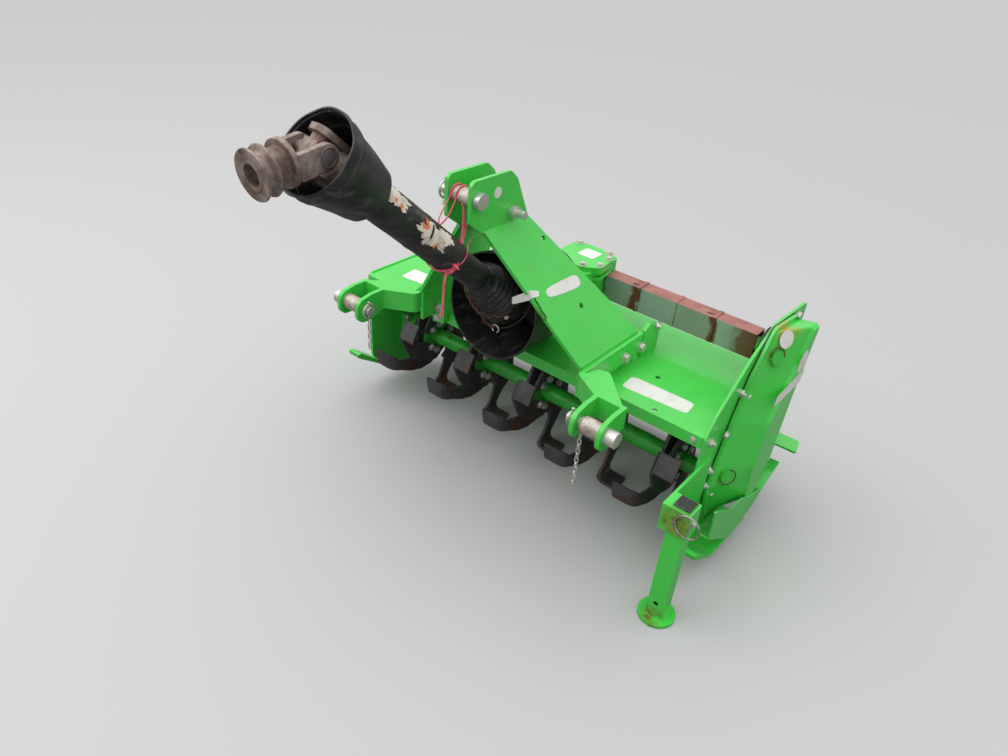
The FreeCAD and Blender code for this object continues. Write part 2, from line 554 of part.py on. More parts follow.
core = box(stand_x - leg_w / 2 + leg_wall, stand_x + leg_w / 2 - leg_wall, stand_y - leg_w / 2 + leg_wall,
           stand_y + leg_w / 2 - leg_wall, foot_t, socket_z1 + 3)
foot_disc = rod(foot_r, (stand_x, stand_y, 0), (stand_x, stand_y, foot_t))
leg = leg.cut(core).cut(rod(6.0, (stand_x, stand_y - leg_w, foot_t + 40), (stand_x, stand_y + leg_w, foot_t + 40)))
add("stand_leg", fuse(leg, foot_disc))
bail_y, bail_z = stand_y - half - socket_wall, socket_z0 + 37
bail_r, bail_wire = 26.0, 2.0
stem = rod(5.0, (stand_x - 3, bail_y - 8, bail_z), (stand_x - 3, bail_y - 0.3, bail_z))
bow = Part.makeTorus(bail_r, bail_wire, V(stand_x - 3 + bail_r, bail_y - 4, bail_z + 4), V(0, 1, 0))
add("stand_bail", fuse(stem, bow))
w = leg_w / 2 - leg_wall - 0.2
add("stand_cap", fuse(box(stand_x - w, stand_x + w, stand_y - w, stand_y + w, socket_z1 - 12, socket_z1 + 2.3),
                      box(stand_x - leg_w / 2 + 1, stand_x + leg_w / 2 - 1, stand_y - leg_w / 2 + 1,
                          stand_y + leg_w / 2 - 1, socket_z1 + 2.1, socket_z1 + 4.5)))

# Rotor: tube and flanges, curved tines bolted to them, and the plain side's bearing
hub_x0, hub_x1 = -inner_half + 34, inner_half - 6
flanges = [rod(flange_r, (x, rotor_y, rotor_z), (x + flange_t, rotor_y, rotor_z)) for x in flange_x]
tube = rod(rotor_tube_r, (hub_x0, rotor_y, rotor_z), (hub_x1, rotor_y, rotor_z))
add("rotor_tube", fuse(tube, *flanges))


def tine(side):
    """One tine about the rotor's axis with its tip straight down: a swept shank in Y and Z, its end
    turned sideways through blade_bend into a blade that lies on the tip circle."""
    turns = [math.radians(a) for a in (0, 30, 60, 90)]
    outside = [(blade_bend * (1 - math.cos(a)), tine_r - blade_bend * (1 - math.sin(a))) for a in turns]
    inside = [(blade_bend - (blade_bend - tine_t) * math.cos(a),
               tine_r - blade_bend + (blade_bend - tine_t) * math.sin(a)) for a in reversed(turns)]
    profile = [(0, 20), *outside, (blade_len, tine_r), (blade_len, tine_r - tine_t), *inside, (tine_t, 20)]
    points = [V(x, 0, r) for x, r in profile]
    bowl = Part.Face(Part.makePolygon(points + [points[0]])).revolve(V(0, 0, 0), V(1, 0, 0), 360)
    out = bowl.common(prism(tine_shape, "x", -1, blade_len + 1)).Solids[0]
    if side < 0:
        out = mirror_x(out)
    out.rotate(V(0, 0, 0), V(1, 0, 0), 180)
    return out


tines = []
for side in (1, -1):
    one = tine(side)
    for x in flange_x:
        start = x + flange_t + bolt_gap if side > 0 else x - bolt_gap
        for k in range(tines_per_face):
            piece = one.copy()
            piece.rotate(V(0, 0, 0), V(1, 0, 0), -face_turn[side] - 360.0 / tines_per_face * k)
            piece.translate(V(start, rotor_y, rotor_z))
            tines.append(piece)
add("tines", group(tines))
bearing = fuse(box(-inner_half, -inner_half + 12, rotor_y - 48, rotor_y + 48, rotor_z - 48, rotor_z + 48),
               rod(38.0, (-inner_half + 11, rotor_y, rotor_z), (hub_x0 - 0.3, rotor_y, rotor_z)))
add("rotor_bearing", bearing)

# Tailgate hinged on a rod at the back of the deck, its foot folded and two ribs pressed along it
gate_z = sole_z - 2
gate_fold = rotor_z - 28
gate_profile = [(hinge_y + hinge_r + 1.5, hinge_z), (hinge_y + hinge_r + 4.5, hinge_z), (hinge_y + 62, gate_fold),
                (hinge_y + 60, gate_z), (hinge_y + 57, gate_z), (hinge_y + 59, gate_fold - 1)]
half_gate = inner_half - edge_gap
gate = prism(gate_profile, "x", -half_gate, half_gate)
hinge_arm = hinge_r + 2.5
knuckles, webs, lugs = [], [], []
for place in knuckle_at:
    x = place * half_gate - knuckle_len / 2
    knuckles.append(rod(hinge_r, (x, hinge_y, hinge_z), (x + knuckle_len, hinge_y, hinge_z)))
    webs.append(box(x, x + knuckle_len, hinge_y, hinge_y + hinge_arm, hinge_z - 3, hinge_z + 3))
hinge_rod = rod(hinge_rod_r, (-inner_half + 2, hinge_y, hinge_z), (inner_half - 2, hinge_y, hinge_z))
gate = fuse(gate, *knuckles, *webs).cut(rod(hinge_rod_r + fit, (-inner_half, hinge_y, hinge_z), (inner_half, hinge_y, hinge_z)))
add("tailgate", gate)
lug_plate = [(hinge_y - hinge_r + 0.5, hinge_z), (deck_rear + 36, deck_z - 44), (deck_rear + 40, deck_z - 40),
             (hinge_y, hinge_z + hinge_r - 0.5)]
for place in lug_at:
    x = place * half_gate - lug_len / 2
    lugs.append(fuse(rod(hinge_r, (x, hinge_y, hinge_z), (x + lug_len, hinge_y, hinge_z)),
                     prism(lug_plate, "x", x, x + lug_len)))
add("tailgate_hinge", fuse(hinge_rod, *lugs))

print(len(nodes), "nodes", "joint end", round(end_y, 1), round(end_z, 1))
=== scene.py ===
import bmesh
import bpy
import numpy as np
from mathutils import Matrix


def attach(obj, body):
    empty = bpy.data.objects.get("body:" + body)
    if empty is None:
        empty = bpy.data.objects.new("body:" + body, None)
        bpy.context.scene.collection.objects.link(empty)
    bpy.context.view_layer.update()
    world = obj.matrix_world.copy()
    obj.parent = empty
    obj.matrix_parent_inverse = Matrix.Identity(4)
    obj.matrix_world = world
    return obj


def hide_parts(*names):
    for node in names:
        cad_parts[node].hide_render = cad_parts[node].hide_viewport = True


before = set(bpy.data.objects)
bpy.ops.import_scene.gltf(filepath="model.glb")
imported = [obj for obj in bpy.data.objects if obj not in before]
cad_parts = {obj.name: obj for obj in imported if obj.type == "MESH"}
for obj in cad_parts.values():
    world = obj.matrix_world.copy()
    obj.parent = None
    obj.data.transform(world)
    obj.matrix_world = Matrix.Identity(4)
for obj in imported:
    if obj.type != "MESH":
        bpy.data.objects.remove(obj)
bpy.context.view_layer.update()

# Camera. It stands where the photograph was taken from, 1.3 m above the ground in front of the machine's
# drive side, and looks down at it. The lens is assumed: 27 mm on a sensor 36 mm wide.
view_turn, view_rise, view_roll = np.radians([37.04, 33.55, 4.92])
view_place = np.array([0.8878, -1.1355, 1.3042])
focal_pixels, photo_width, sensor_width = 757.4, 1008.0, 36.0
back = np.array([np.sin(view_turn) * np.cos(view_rise), -np.cos(view_turn) * np.cos(view_rise),
                 np.sin(view_rise)])
level = np.cross([0.0, 0.0, 1.0], back) / np.cos(view_rise)
raised = np.cross(back, level)
right = np.cos(view_roll) * level + np.sin(view_roll) * raised
up = np.cos(view_roll) * raised - np.sin(view_roll) * level
camera = bpy.data.objects.new("camera", bpy.data.cameras.new("camera"))
camera.data.sensor_width = sensor_width
camera.data.lens = focal_pixels / photo_width * sensor_width
camera.data.clip_end = 200.0
axes_and_place = np.column_stack([right, up, back, view_place])
camera.matrix_world = Matrix([[*row] for row in axes_and_place] + [[0, 0, 0, 1]])
bpy.context.collection.objects.link(camera)
bpy.context.scene.camera = camera

# Studio. A wide matt floor that looks pale grey and throws little light up, as gravel does, a sky that
# is brightest overhead, and one large soft panel to the left of the camera.
floor_half, floor_grey, floor_thrown = 40.0, 0.48, 0.20
sky_low, sky_high, sky_shown = 0.42, 1.58, 1.0
panel_size, panel_power = 3.0, 62.0
panel_from, panel_to = np.array([-1.9, -2.0, 3.6]), np.array([0.0, 0.0, 0.4])


def node(tree, kind, inputs=(), **settings):
    """Adds a shader node. Each input is a plain value, or another node's output that is linked to it."""
    made = tree.nodes.new("ShaderNode" + kind)
    for key, value in settings.items():
        setattr(made, key, value)
    for key, value in dict(inputs).items():
        if isinstance(value, bpy.types.NodeSocket):
            tree.links.new(value, made.inputs[key])
        else:
            made.inputs[key].default_value = value
    return made


floor_mesh = bpy.data.meshes.new("floor")
floor_corners = [[x, y, 0.0] for x, y in ((-1, -1), (1, -1), (1, 1), (-1, 1))]
floor_mesh.from_pydata((floor_half * np.array(floor_corners)).tolist(), [], [(0, 1, 2, 3)])
floor_finish = bpy.data.materials.new("studio_floor")
floor_finish.use_nodes = True
floor_shader = floor_finish.node_tree.nodes["Principled BSDF"]
seen = node(floor_finish.node_tree, "LightPath").outputs["Is Camera Ray"]
greys = [(grey, grey, grey, 1) for grey in (floor_thrown, floor_grey)]
floor_tone = node(floor_finish.node_tree, "Mix", {0: seen, 6: greys[0], 7: greys[1]}, data_type="RGBA")
floor_finish.node_tree.links.new(floor_tone.outputs[2], floor_shader.inputs["Base Color"])
floor_shader.inputs["Roughness"].default_value = 0.9
floor_mesh.materials.append(floor_finish)
floor = bpy.data.objects.new("floor", floor_mesh)
bpy.context.collection.objects.link(floor)

world = bpy.data.worlds.new("studio")
world.use_nodes = True
bpy.context.scene.world = world
sky = world.node_tree
sky.nodes.clear()
ray = node(sky, "LightPath")
height = node(sky, "SeparateXYZ", {0: node(sky, "TexCoord").outputs["Generated"]}).outputs[2]
rising = node(sky, "MapRange", {0: height, 1: 0.0, 2: 1.0, 3: sky_low, 4: sky_high})
strength = node(sky, "Mix", {0: ray.outputs["Is Camera Ray"], 2: rising.outputs[0], 3: sky_shown},
                data_type="FLOAT")
glow = node(sky, "Background", {"Color": (1, 1, 1, 1), "Strength": strength.outputs[0]})
node(sky, "OutputWorld", {"Surface": glow.outputs[0]})

panel = bpy.data.objects.new("panel", bpy.data.lights.new("panel", "AREA"))
panel.data.size = panel_size
panel.data.energy = panel_power
panel.location = panel_from
aim = (panel_from - panel_to) / np.linalg.norm(panel_from - panel_to)
side = np.cross([0.0, 0.0, 1.0], aim)
side = side / np.linalg.norm(side)
panel.rotation_euler = Matrix(np.column_stack([side, np.cross(aim, side), aim]).tolist()).to_euler()
bpy.context.collection.objects.link(panel)
bpy.context.scene.view_settings.view_transform = "Standard"

# Housing. Deck, side plates, skid shoes, tailgate and its hinge are sheet and plate steel, welded and
# sprayed in one gloss green. Dust dulls it in clouds and run-off streaks, and small chips show brown.
enamel, enamel_shade, enamel_dust = (0.055, 0.62, 0.065), (0.035, 0.50, 0.045), (0.14, 0.42, 0.12)
# The paler green for edges is part worn paint and part a painted highlight.
chip_brown, pale_edge_wear_and_highlight = (0.10, 0.055, 0.03), (0.30, 0.78, 0.28)
pin_line = np.array([19.0, 92.0, 0.0])


def spots(tree, scale, low, high, detail=5.0, stretch=None):
    """Noise over the piece, cut so that it is 0 below low, 1 above high and even between them."""
    where = node(tree, "TexCoord").outputs["Object"]
    if stretch:
        where = node(tree, "Mapping", {"Vector": where, "Scale": stretch}).outputs[0]
    cloud = node(tree, "TexNoise", {"Vector": where, "Scale": scale, "Detail": detail, "Roughness": 0.6})
    cut = node(tree, "MapRange", {0: cloud.outputs[0], 1: low, 2: high, 3: 0.0, 4: 1.0})
    return cut.outputs[0]


def mixed(tree, share, first, second):
    """One colour turned into a second by a share from 0 to 1."""
    first = first if isinstance(first, bpy.types.NodeSocket) else (*first, 1)
    second = second if isinstance(second, bpy.types.NodeSocket) else (*second, 1)
    return node(tree, "Mix", {0: share, 6: first, 7: second}, data_type="RGBA").outputs[2]


def scaled(tree, value, by, plus=0.0):
    """A share times a number or another share, and a number added."""
    return node(tree, "Math", {0: value, 1: by, 2: plus}, operation="MULTIPLY_ADD").outputs[0]


def bloom(tree, place, reach):
    """A share that is 1 at a place in millimetres from the pin line and fades to 0 at its reach,
    its edge broken by noise."""
    where = node(tree, "TexCoord").outputs["Object"]
    centre = tuple((np.array(place) - pin_line) / 1000.0)
    far = node(tree, "VectorMath", {0: where, 1: centre}, operation="DISTANCE").outputs["Value"]
    near = node(tree, "MapRange", {0: far, 1: reach / 1000.0, 2: reach / 4000.0, 3: 0.0, 4: 1.0}).outputs[0]
    return scaled(tree, near, spots(tree, 60.0, 0.36, 0.60))


def finish(name, colour_of, rough, metal=0.0, coat=0.0, ripple=(200.0, 0.05), edge=0.0012):
    """A procedural material: colour_of(tree) gives its colour, rough its dull and shiny roughness over
    a cloud, ripple the scale and height of a fine bump, and edge the radius that corners look to have."""
    made = bpy.data.materials.new(name)
    made.use_nodes = True
    tree = made.node_tree
    shader = tree.nodes["Principled BSDF"]
    tree.links.new(colour_of(tree), shader.inputs["Base Color"])
    cloud = spots(tree, 14.0, 0.35, 0.7)
    tree.links.new(scaled(tree, cloud, rough[1] - rough[0], rough[0]), shader.inputs["Roughness"])
    shader.inputs["Metallic"].default_value = metal
    shader.inputs["Coat Weight"].default_value = coat
    shader.inputs["Coat Roughness"].default_value = 0.08
    grain = spots(tree, ripple[0], 0.2, 0.8)
    rounded = node(tree, "Bevel", {"Radius": edge}, samples=4)
    bump = node(tree, "Bump", {"Height": grain, "Strength": ripple[1], "Distance": 0.001,
                               "Normal": rounded.outputs[0]})
    tree.links.new(bump.outputs[0], shader.inputs["Normal"])
    return made


def edge_wear_and_highlight(tree, radius, share):
    """A share along outer and inner edges, for a paler green that is part wear and part painted highlight:
    how far the rounded normal leans from the true one.
    """
    rounded = node(tree, "Bevel", {"Radius": radius}, samples=4).outputs[0]
    true = node(tree, "NewGeometry").outputs["True Normal"]
    same = node(tree, "VectorMath", {0: rounded, 1: true}, operation="DOT_PRODUCT").outputs["Value"]
    lean = node(tree, "MapRange", {0: same, 1: 0.985, 2: 0.88, 3: 0.0, 4: share}).outputs[0]
    return scaled(tree, lean, spots(tree, 90.0, 0.30, 0.62))


def enamel_colour(tree):
    """Two greens in wide clouds, dust in clouds and upright streaks, rare brown chips, edges painted paler:
    part wear, part painted highlight.
    """
    green = mixed(tree, scaled(tree, spots(tree, 5.0, 0.42, 0.75), 0.5), enamel, enamel_shade)
    dust = mixed(tree, scaled(tree, spots(tree, 22.0, 0.5, 0.85), 0.30), green, enamel_dust)
    streak = scaled(tree, spots(tree, 34.0, 0.56, 0.74, stretch=(1.0, 1.0, 0.12)), 0.22)
    streaks = mixed(tree, streak, dust, enamel_dust)
    chipped = mixed(tree, spots(tree, 75.0, 0.735, 0.75, 3.0), streaks, chip_brown)
    return mixed(tree, edge_wear_and_highlight(tree, 0.0016, 0.75), chipped, pale_edge_wear_and_highlight)


def dress(made, *names):
    """Gives each named CAD node one material."""
    for name in names:
        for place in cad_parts[name].material_slots:
            place.material = made


green_paint = finish("green_enamel", enamel_colour, (0.20, 0.42), coat=0.35)
dress(green_paint, "deck", "side_plate_plain", "side_plate_drive", "skid_plain", "skid_drive", "tailgate",
      "tailgate_hinge", "case_guard", "rear_tab", "cross_tube", "hitch_bar_plain", "hitch_bar_drive",
      "hitch_rail_plain", "hitch_rail_drive", "mast_plate_plain", "mast_plate_drive", "gearbox",
      "gearbox_cover", "rotor_bearing")

# Gear case. A cast cover in the same green, with rust blooming from one bolt at its top and a brown
# ring where each screwed plug has been turned.
rust_orange, rust_brown = (0.58, 0.22, 0.03), (0.16, 0.07, 0.02)
stain_place, upper_plug, lower_plug = (528.0, 432.0, 562.0), (529.0, 391.0, 505.0), (537.0, 282.0, 238.0)


def case_colour(tree):
    """The housing's green with an orange bloom and a brown halo round both plugs."""
    green = mixed(tree, bloom(tree, stain_place, 46.0), enamel_colour(tree), rust_orange)
    for plug in (upper_plug, lower_plug):
        green = mixed(tree, scaled(tree, bloom(tree, plug, 30.0), 0.75), green, rust_brown)
    return green


def plug_colour(tree):
    """Green with rubbed brown patches."""
    return mixed(tree, scaled(tree, spots(tree, 85.0, 0.55, 0.68), 0.8), enamel_shade, rust_brown)


case_paint = finish("gear_case_enamel", case_colour, (0.22, 0.46), coat=0.3, edge=0.003)
dress(case_paint, "gear_case")
plug_paint = finish("plug_enamel", plug_colour, (0.28, 0.5), coat=0.2)
dress(plug_paint, "case_plugs")

# Guard plastics. The bell, cones and guard tubes are black moulded plastic that the sun has greyed,
# scuffed in streaks along their length.
plastic_black, plastic_grey = (0.009, 0.009, 0.010), (0.038, 0.037, 0.036)
plastic_scuff, plastic_dust = (0.15, 0.145, 0.135), (0.070, 0.065, 0.045)


def plastic_colour(tree):
    """Black with grey clouds, pale scuffs drawn out along the machine and dusty olive smears."""
    worn = mixed(tree, scaled(tree, spots(tree, 16.0, 0.45, 0.72), 0.7), plastic_black, plastic_grey)
    olive = scaled(tree, spots(tree, 30.0, 0.52, 0.72, stretch=(1.0, 0.45, 1.3)), 0.55)
    smear = mixed(tree, olive, worn, plastic_dust)
    streak = spots(tree, 60.0, 0.58, 0.72, stretch=(1.0, 0.22, 0.6))
    return mixed(tree, scaled(tree, streak, 0.6), smear, plastic_scuff)


black_plastic = finish("black_guard_plastic", plastic_colour, (0.34, 0.62), ripple=(320.0, 0.12))
dress(black_plastic, "bell_shield", "rear_guard_tube", "rear_cone", "front_guard_tube", "front_cone",
      "stand_cap", "cross_flange")

# Cross shaft guard. Four folded steel boxes that have lost most of their coat: the tops are rusted to
# a pinkish brown, the sides keep grey-green zinc in each panel with brown rust towards its ends.
rust_top, rust_top_dark, rust_side = (0.37, 0.155, 0.130), (0.20, 0.080, 0.060), (0.125, 0.040, 0.018)
old_zinc, old_zinc_dark = (0.28, 0.38, 0.31), (0.16, 0.21, 0.17)
guard_from, guard_to = 70.0, 466.0
# Each row: share of the guard's length from its inner end, share of rust there.
guard_rust = [(0.00, 0.7), (0.02, 0.1), (0.17, 0.2), (0.20, 1.0), (0.245, 1.0), (0.262, 0.0), (0.50, 0.1),
              (0.52, 0.25), (0.70, 0.3), (0.72, 1.0), (0.745, 1.0), (0.765, 0.0), (0.86, 0.2), (0.90, 0.9),
              (1.00, 1.0)]


def guard_colour(tree):
    """Rust on faces that look up; on the others zinc, rusted by a ramp of places along the guard that
    noise pushes to and fro."""
    facing = node(tree, "SeparateXYZ", {0: node(tree, "NewGeometry").outputs["Normal"]}).outputs[2]
    along = node(tree, "SeparateXYZ", {0: node(tree, "TexCoord").outputs["Object"]}).outputs[0]
    low, high = (guard_from - pin_line[0]) / 1000.0, (guard_to - pin_line[0]) / 1000.0
    share = node(tree, "MapRange", {0: along, 1: low, 2: high, 3: 0.0, 4: 1.0}).outputs[0]
    push = scaled(tree, spots(tree, 24.0, 0.3, 0.7), 0.06, -0.03)
    pushed = node(tree, "Math", {0: share, 1: push}, operation="ADD")
    ramp = node(tree, "ValToRGB", {0: pushed.outputs[0]})
    while len(ramp.color_ramp.elements) < len(guard_rust):
        ramp.color_ramp.elements.new(0.5)
    for stop, (place, rusted) in zip(ramp.color_ramp.elements, guard_rust):
        stop.position = place
        stop.color = (rusted, rusted, rusted, 1)
    speckle = scaled(tree, spots(tree, 120.0, 0.5, 0.8), 0.5)
    zinc_side = mixed(tree, speckle, old_zinc, old_zinc_dark)
    side_tone = mixed(tree, ramp.outputs[0], zinc_side, rust_side)
    top_tone = mixed(tree, spots(tree, 30.0, 0.45, 0.75), rust_top, rust_top_dark)
    up_share = node(tree, "MapRange", {0: facing, 1: 0.4, 2: 0.7, 3: 0.0, 4: 1.0}).outputs[0]
    return mixed(tree, up_share, side_tone, top_tone)


rusty_box = finish("rusty_guard_box", guard_colour, (0.50, 0.80), metal=0.1, ripple=(120.0, 0.3))
dress(rusty_box, "cross_shaft_guard")

# Bright parts. Hitch pins, bushings, linch pins, chains and the mast's bolt are zinc plated and a little
# dull, brown where they rub.
def zinc_colour(tree):
    """Pale grey metal with a brown bloom."""
    rubbed = scaled(tree, spots(tree, 40.0, 0.45, 0.8), 0.4)
    return mixed(tree, rubbed, (0.66, 0.65, 0.62), (0.30, 0.20, 0.13))


def bushing_colour(tree):
    """Zinc worn through to brown steel over most of the sleeve."""
    worn = scaled(tree, spots(tree, 45.0, 0.36, 0.62), 0.85)
    return mixed(tree, worn, (0.60, 0.56, 0.50), (0.27, 0.16, 0.11))


def wire_colour(tree):
    """Grey wire with brown patches."""
    return mixed(tree, spots(tree, 50.0, 0.4, 0.7), (0.42, 0.41, 0.38), (0.16, 0.12, 0.09))


zinc = finish("dull_zinc", zinc_colour, (0.30, 0.55), metal=0.75, ripple=(260.0, 0.15))
dress(zinc, "lower_pin_plain", "lower_pin_drive", "upper_pin", "mast_bolt", "linch_rings", "tether_chains")
aged_wire = finish("aged_wire", wire_colour, (0.35, 0.6), metal=0.7)
dress(aged_wire, "stand_bail")
worn_sleeve = finish("worn_bushing", bushing_colour, (0.42, 0.7), metal=0.5, ripple=(160.0, 0.3))
dress(worn_sleeve, "lower_bushing_plain", "lower_bushing_drive", "upper_bushing")

# Driveline iron. Forks, crosses, shafts and the sprung collar are forgings with a brown-grey skin,
# greasy where they slide.
def iron_colour(tree):
    """Pale grey-brown skin, dark and greasy in clouds, with rust in patches."""
    skin_tone = mixed(tree, spots(tree, 26.0, 0.42, 0.66), (0.37, 0.305, 0.265), (0.110, 0.072, 0.056))
    speckled = mixed(tree, scaled(tree, spots(tree, 150.0, 0.5, 0.7), 0.5), skin_tone, (0.12, 0.075, 0.055))
    return mixed(tree, scaled(tree, spots(tree, 48.0, 0.52, 0.70), 0.75), speckled, (0.24, 0.085, 0.040))


forged = finish("forged_iron", iron_colour, (0.38, 0.72), metal=0.35, ripple=(140.0, 0.5), edge=0.003)
dress(forged, "input_yoke", "rear_cross", "rear_shaft", "front_shaft", "front_cross", "front_yoke",
      "yoke_collar")

# Rotor. The tube and its flanges are sprayed green and scuffed by the soil; the tines are slate grey
# steel, with brown rust along their edges and flats.
def tine_colour(tree):
    """Slate steel that turns to brown rust in patches."""
    steel = mixed(tree, spots(tree, 18.0, 0.45, 0.7), (0.085, 0.080, 0.085), (0.045, 0.040, 0.040))
    return mixed(tree, spots(tree, 11.0, 0.53, 0.66), steel, (0.13, 0.050, 0.025))


def tube_colour(tree):
    """Darker green, darker still in clouds, with rust in patches."""
    darker_green_clouds = mixed(tree, scaled(tree, spots(tree, 16.0, 0.45, 0.7), 0.6), enamel_shade, (0.05, 0.16, 0.035))
    return mixed(tree, spots(tree, 30.0, 0.62, 0.70), darker_green_clouds, (0.13, 0.055, 0.03))


tine_steel = finish("soil_worn_tines", tine_colour, (0.38, 0.7), metal=0.4, ripple=(90.0, 0.35))
dress(tine_steel, "tines")
rotor_green = finish("rotor_green", tube_colour, (0.32, 0.6), coat=0.15, ripple=(120.0, 0.2))
dress(rotor_green, "rotor_tube")

# Gasket between the drive side plate and the gear case: black sealing compound squeezed in the joint.
def seal_colour(tree):
    """Black with a little grey dust."""
    return mixed(tree, spots(tree, 45.0, 0.5, 0.8), (0.012, 0.012, 0.012), (0.05, 0.05, 0.045))


# The same black also paints the shade inside the punched slots of the cross shaft's guard.
seal_and_slot_shade_black = finish("seal_and_slot_shade_black", seal_colour, (0.5, 0.8))
dress(seal_and_slot_shade_black, "gear_case_gasket")

# Stand. A square tube leg with a round foot in a welded socket, green as the housing, with rust at the
# foot's weld, and olive lichen on the socket's damp front.
lichen, lichen_dark, socket_front = (0.19, 0.30, 0.020), (0.07, 0.15, 0.014), (538.0, 34.0, 284.0)
foot_weld = (538.0, 34.0, 14.0)
lichen_end, lichen_full = 0.044, 0.022


def leg_colour(tree):
    """The housing's green, with rust about the foot's weld."""
    return mixed(tree, scaled(tree, bloom(tree, foot_weld, 36.0), 0.9), enamel_colour(tree), rust_brown)


def socket_colour(tree):
    """The housing's green under mottled lichen that spreads from the middle of the front."""
    growth = mixed(tree, spots(tree, 70.0, 0.45, 0.6), lichen, lichen_dark)
    where = node(tree, "TexCoord").outputs["Object"]
    centre = tuple((np.array(socket_front) - pin_line) / 1000.0)
    far = node(tree, "VectorMath", {0: where, 1: centre}, operation="DISTANCE").outputs["Value"]
    near = node(tree, "MapRange", {0: far, 1: lichen_end, 2: lichen_full, 3: 0.0, 4: 1.0}).outputs[0]
    grown = scaled(tree, near, spots(tree, 55.0, 0.28, 0.48))
    return mixed(tree, grown, enamel_colour(tree), growth)


dress(finish("stand_leg_enamel", leg_colour, (0.25, 0.5), coat=0.2), "stand_leg")
dress(finish("stand_socket_enamel", socket_colour, (0.28, 0.55), coat=0.2), "stand_bracket")

# Bolts. Zinc plated hexagon bolts and nuts on washers hold the rails, the mast's feet, the gearbox
# cover, the gear case, the bearing, and the side plate's braces.
crease_angle = 32
washer_share, washer_thick = 0.74, 1.6


def made_of(name, grids, material, body):
    """One piece from grids of points in millimetres, measured from the lower hitch pins. A "tube" grid
    closes around and has flat ends, a "sleeve" only closes around, a "ring" closes both ways and a
    "sheet" neither way. The piece rides on a body and takes its finish from a slot."""
    points, faces, start = [], [], 0
    for grid, kind in grids:
        rows, around = grid.shape[:2]
        index = start + np.arange(rows * around).reshape(rows, around)
        if kind != "sheet":
            index = np.hstack([index, index[:, :1]])
        if kind == "ring":
            index = np.vstack([index, index[:1]])
        corners = [index[:-1, :-1], index[:-1, 1:], index[1:, 1:], index[1:, :-1]]
        faces += np.stack(corners, -1).reshape(-1, 4).tolist()
        if kind == "tube":
            faces += [index[0, :-1][::-1].tolist(), index[-1, :-1].tolist()]
        points.append((grid.reshape(-1, 3) - pin_line) / 1000.0)
        start += rows * around
    mesh = bpy.data.meshes.new(name)
    mesh.from_pydata(np.vstack(points).tolist(), [], faces)
    shell = bmesh.new()
    shell.from_mesh(mesh)
    bmesh.ops.recalc_face_normals(shell, faces=shell.faces)
    shell.to_mesh(mesh)
    shell.free()
    mesh.polygons.foreach_set("use_smooth", [True] * len(mesh.polygons))
    mesh.set_sharp_from_angle(angle=np.radians(crease_angle))
    mesh.materials.append(material)
    piece = bpy.data.objects.new(name, mesh)
    bpy.context.collection.objects.link(piece)
    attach(piece, body)
    return piece


def turned_to(local, place, out, spin=0.0):
    """Points with local Z along an outward direction, spun about it and set down at a place."""
    out = np.array(out, float) / np.linalg.norm(out)
    across = np.cross([0.0, 0.0, 1.0], out) if abs(out[2]) < 0.95 else np.array([1.0, 0.0, 0.0])
    across = across - out * (across @ out)
    across = across / np.linalg.norm(across)
    along = np.cross(out, across)
    c, s = np.cos(np.radians(spin)), np.sin(np.radians(spin))
    x, y = local[..., 0] * c - local[..., 1] * s, local[..., 0] * s + local[..., 1] * c
    return np.array(place, float) + x[..., None] * across + y[..., None] * along + local[..., 2:] * out


def hexagon_head(across, height):
    """A hexagon of the given width over its flats, its corners cut by a cone, on a round washer:
    each row is a ring of radius r(angle), the hexagon's being a/2 over the cosine to its flat."""
    angle = np.radians(np.arange(0, 360, 7.5))
    hexagon = across / 2 / np.cos((angle + np.radians(30)) % np.radians(60) - np.radians(30))
    round_top = np.minimum(hexagon, across * 0.50)
    washer = across * washer_share + 0 * angle
    rows = [(washer, -0.1), (washer, washer_thick), (hexagon, washer_thick),
            (hexagon, height - across * 0.05), (round_top, height), (round_top * 0.1, height)]
    return np.array([np.column_stack([r * np.cos(angle), r * np.sin(angle), h + 0 * angle]) for r, h in rows])


def nut_on_stud(across, height, stud):
    """The stud that stands out of a nut to a height, its end chamfered."""
    angle = np.radians(np.arange(0, 360, 15.0))
    r = across * 0.3
    rows = [(r, height - 1.0), (r, stud - 1.2), (r - 1.2, stud), (r * 0.1, stud)]
    return np.array([np.column_stack([q * np.cos(angle), q * np.sin(angle), h + 0 * angle]) for q, h in rows])


def bolts(places, across=17.0, height=8.0):
    """Bolt heads at (x, y, z, out) places, each spun to its own angle."""
    head = hexagon_head(across, height)
    return [(turned_to(head, place[:3], place[3], 23.0 * k), "tube") for k, place in enumerate(places)]


def nuts(places, across=17.0, height=8.0, stud=15.0):
    """Nuts with their studs at (x, y, z, out) places."""
    shaft = nut_on_stud(across, height, stud)
    return bolts(places, across, height) + [(turned_to(shaft, p[:3], p[3]), "tube") for p in places]


cover_top = 547.0
plate_face, flange_face, rail_face, lip_front = 503.0, 513.0, 245.0, 178.0
outwards = (1, 0, 0)
rail_bolts = [(side * rail_face, y, 423.0, (side, 0, 0)) for side in (-1, 1) for y in (275.0, 345.0)]
lug_nuts = [(side * rail_face, 408.0, 455.0, (side, 0, 0)) for side in (-1, 1)]
cover_places = ((-38, 478), (50, 478), (40, 376), (72, 402), (-38, 376), (66, 450))
cover_bolts = [(x, y, cover_top, (0, 0, 1)) for x, y in cover_places]
plate_nuts = [(plate_face, y, z, outwards) for y, z in ((319, 435), (215, 361), (249, 266), (249, 223))]
flange_places_yz = ((337, 422), (265, 360), (313, 298), (278, 185), (525, 548), (415, 536))
flange_bolts = [(flange_face, y, z, outwards) for y, z in flange_places_yz]
bearing_bolts = [(-485.0, y, z, (1, 0, 0)) for y in (312.0, 384.0) for z in (142.0, 214.0)]
hitch_set = bolts(rail_bolts, 19.0, 9.0) + nuts(lug_nuts, 15.0, 7.0, 12.0)
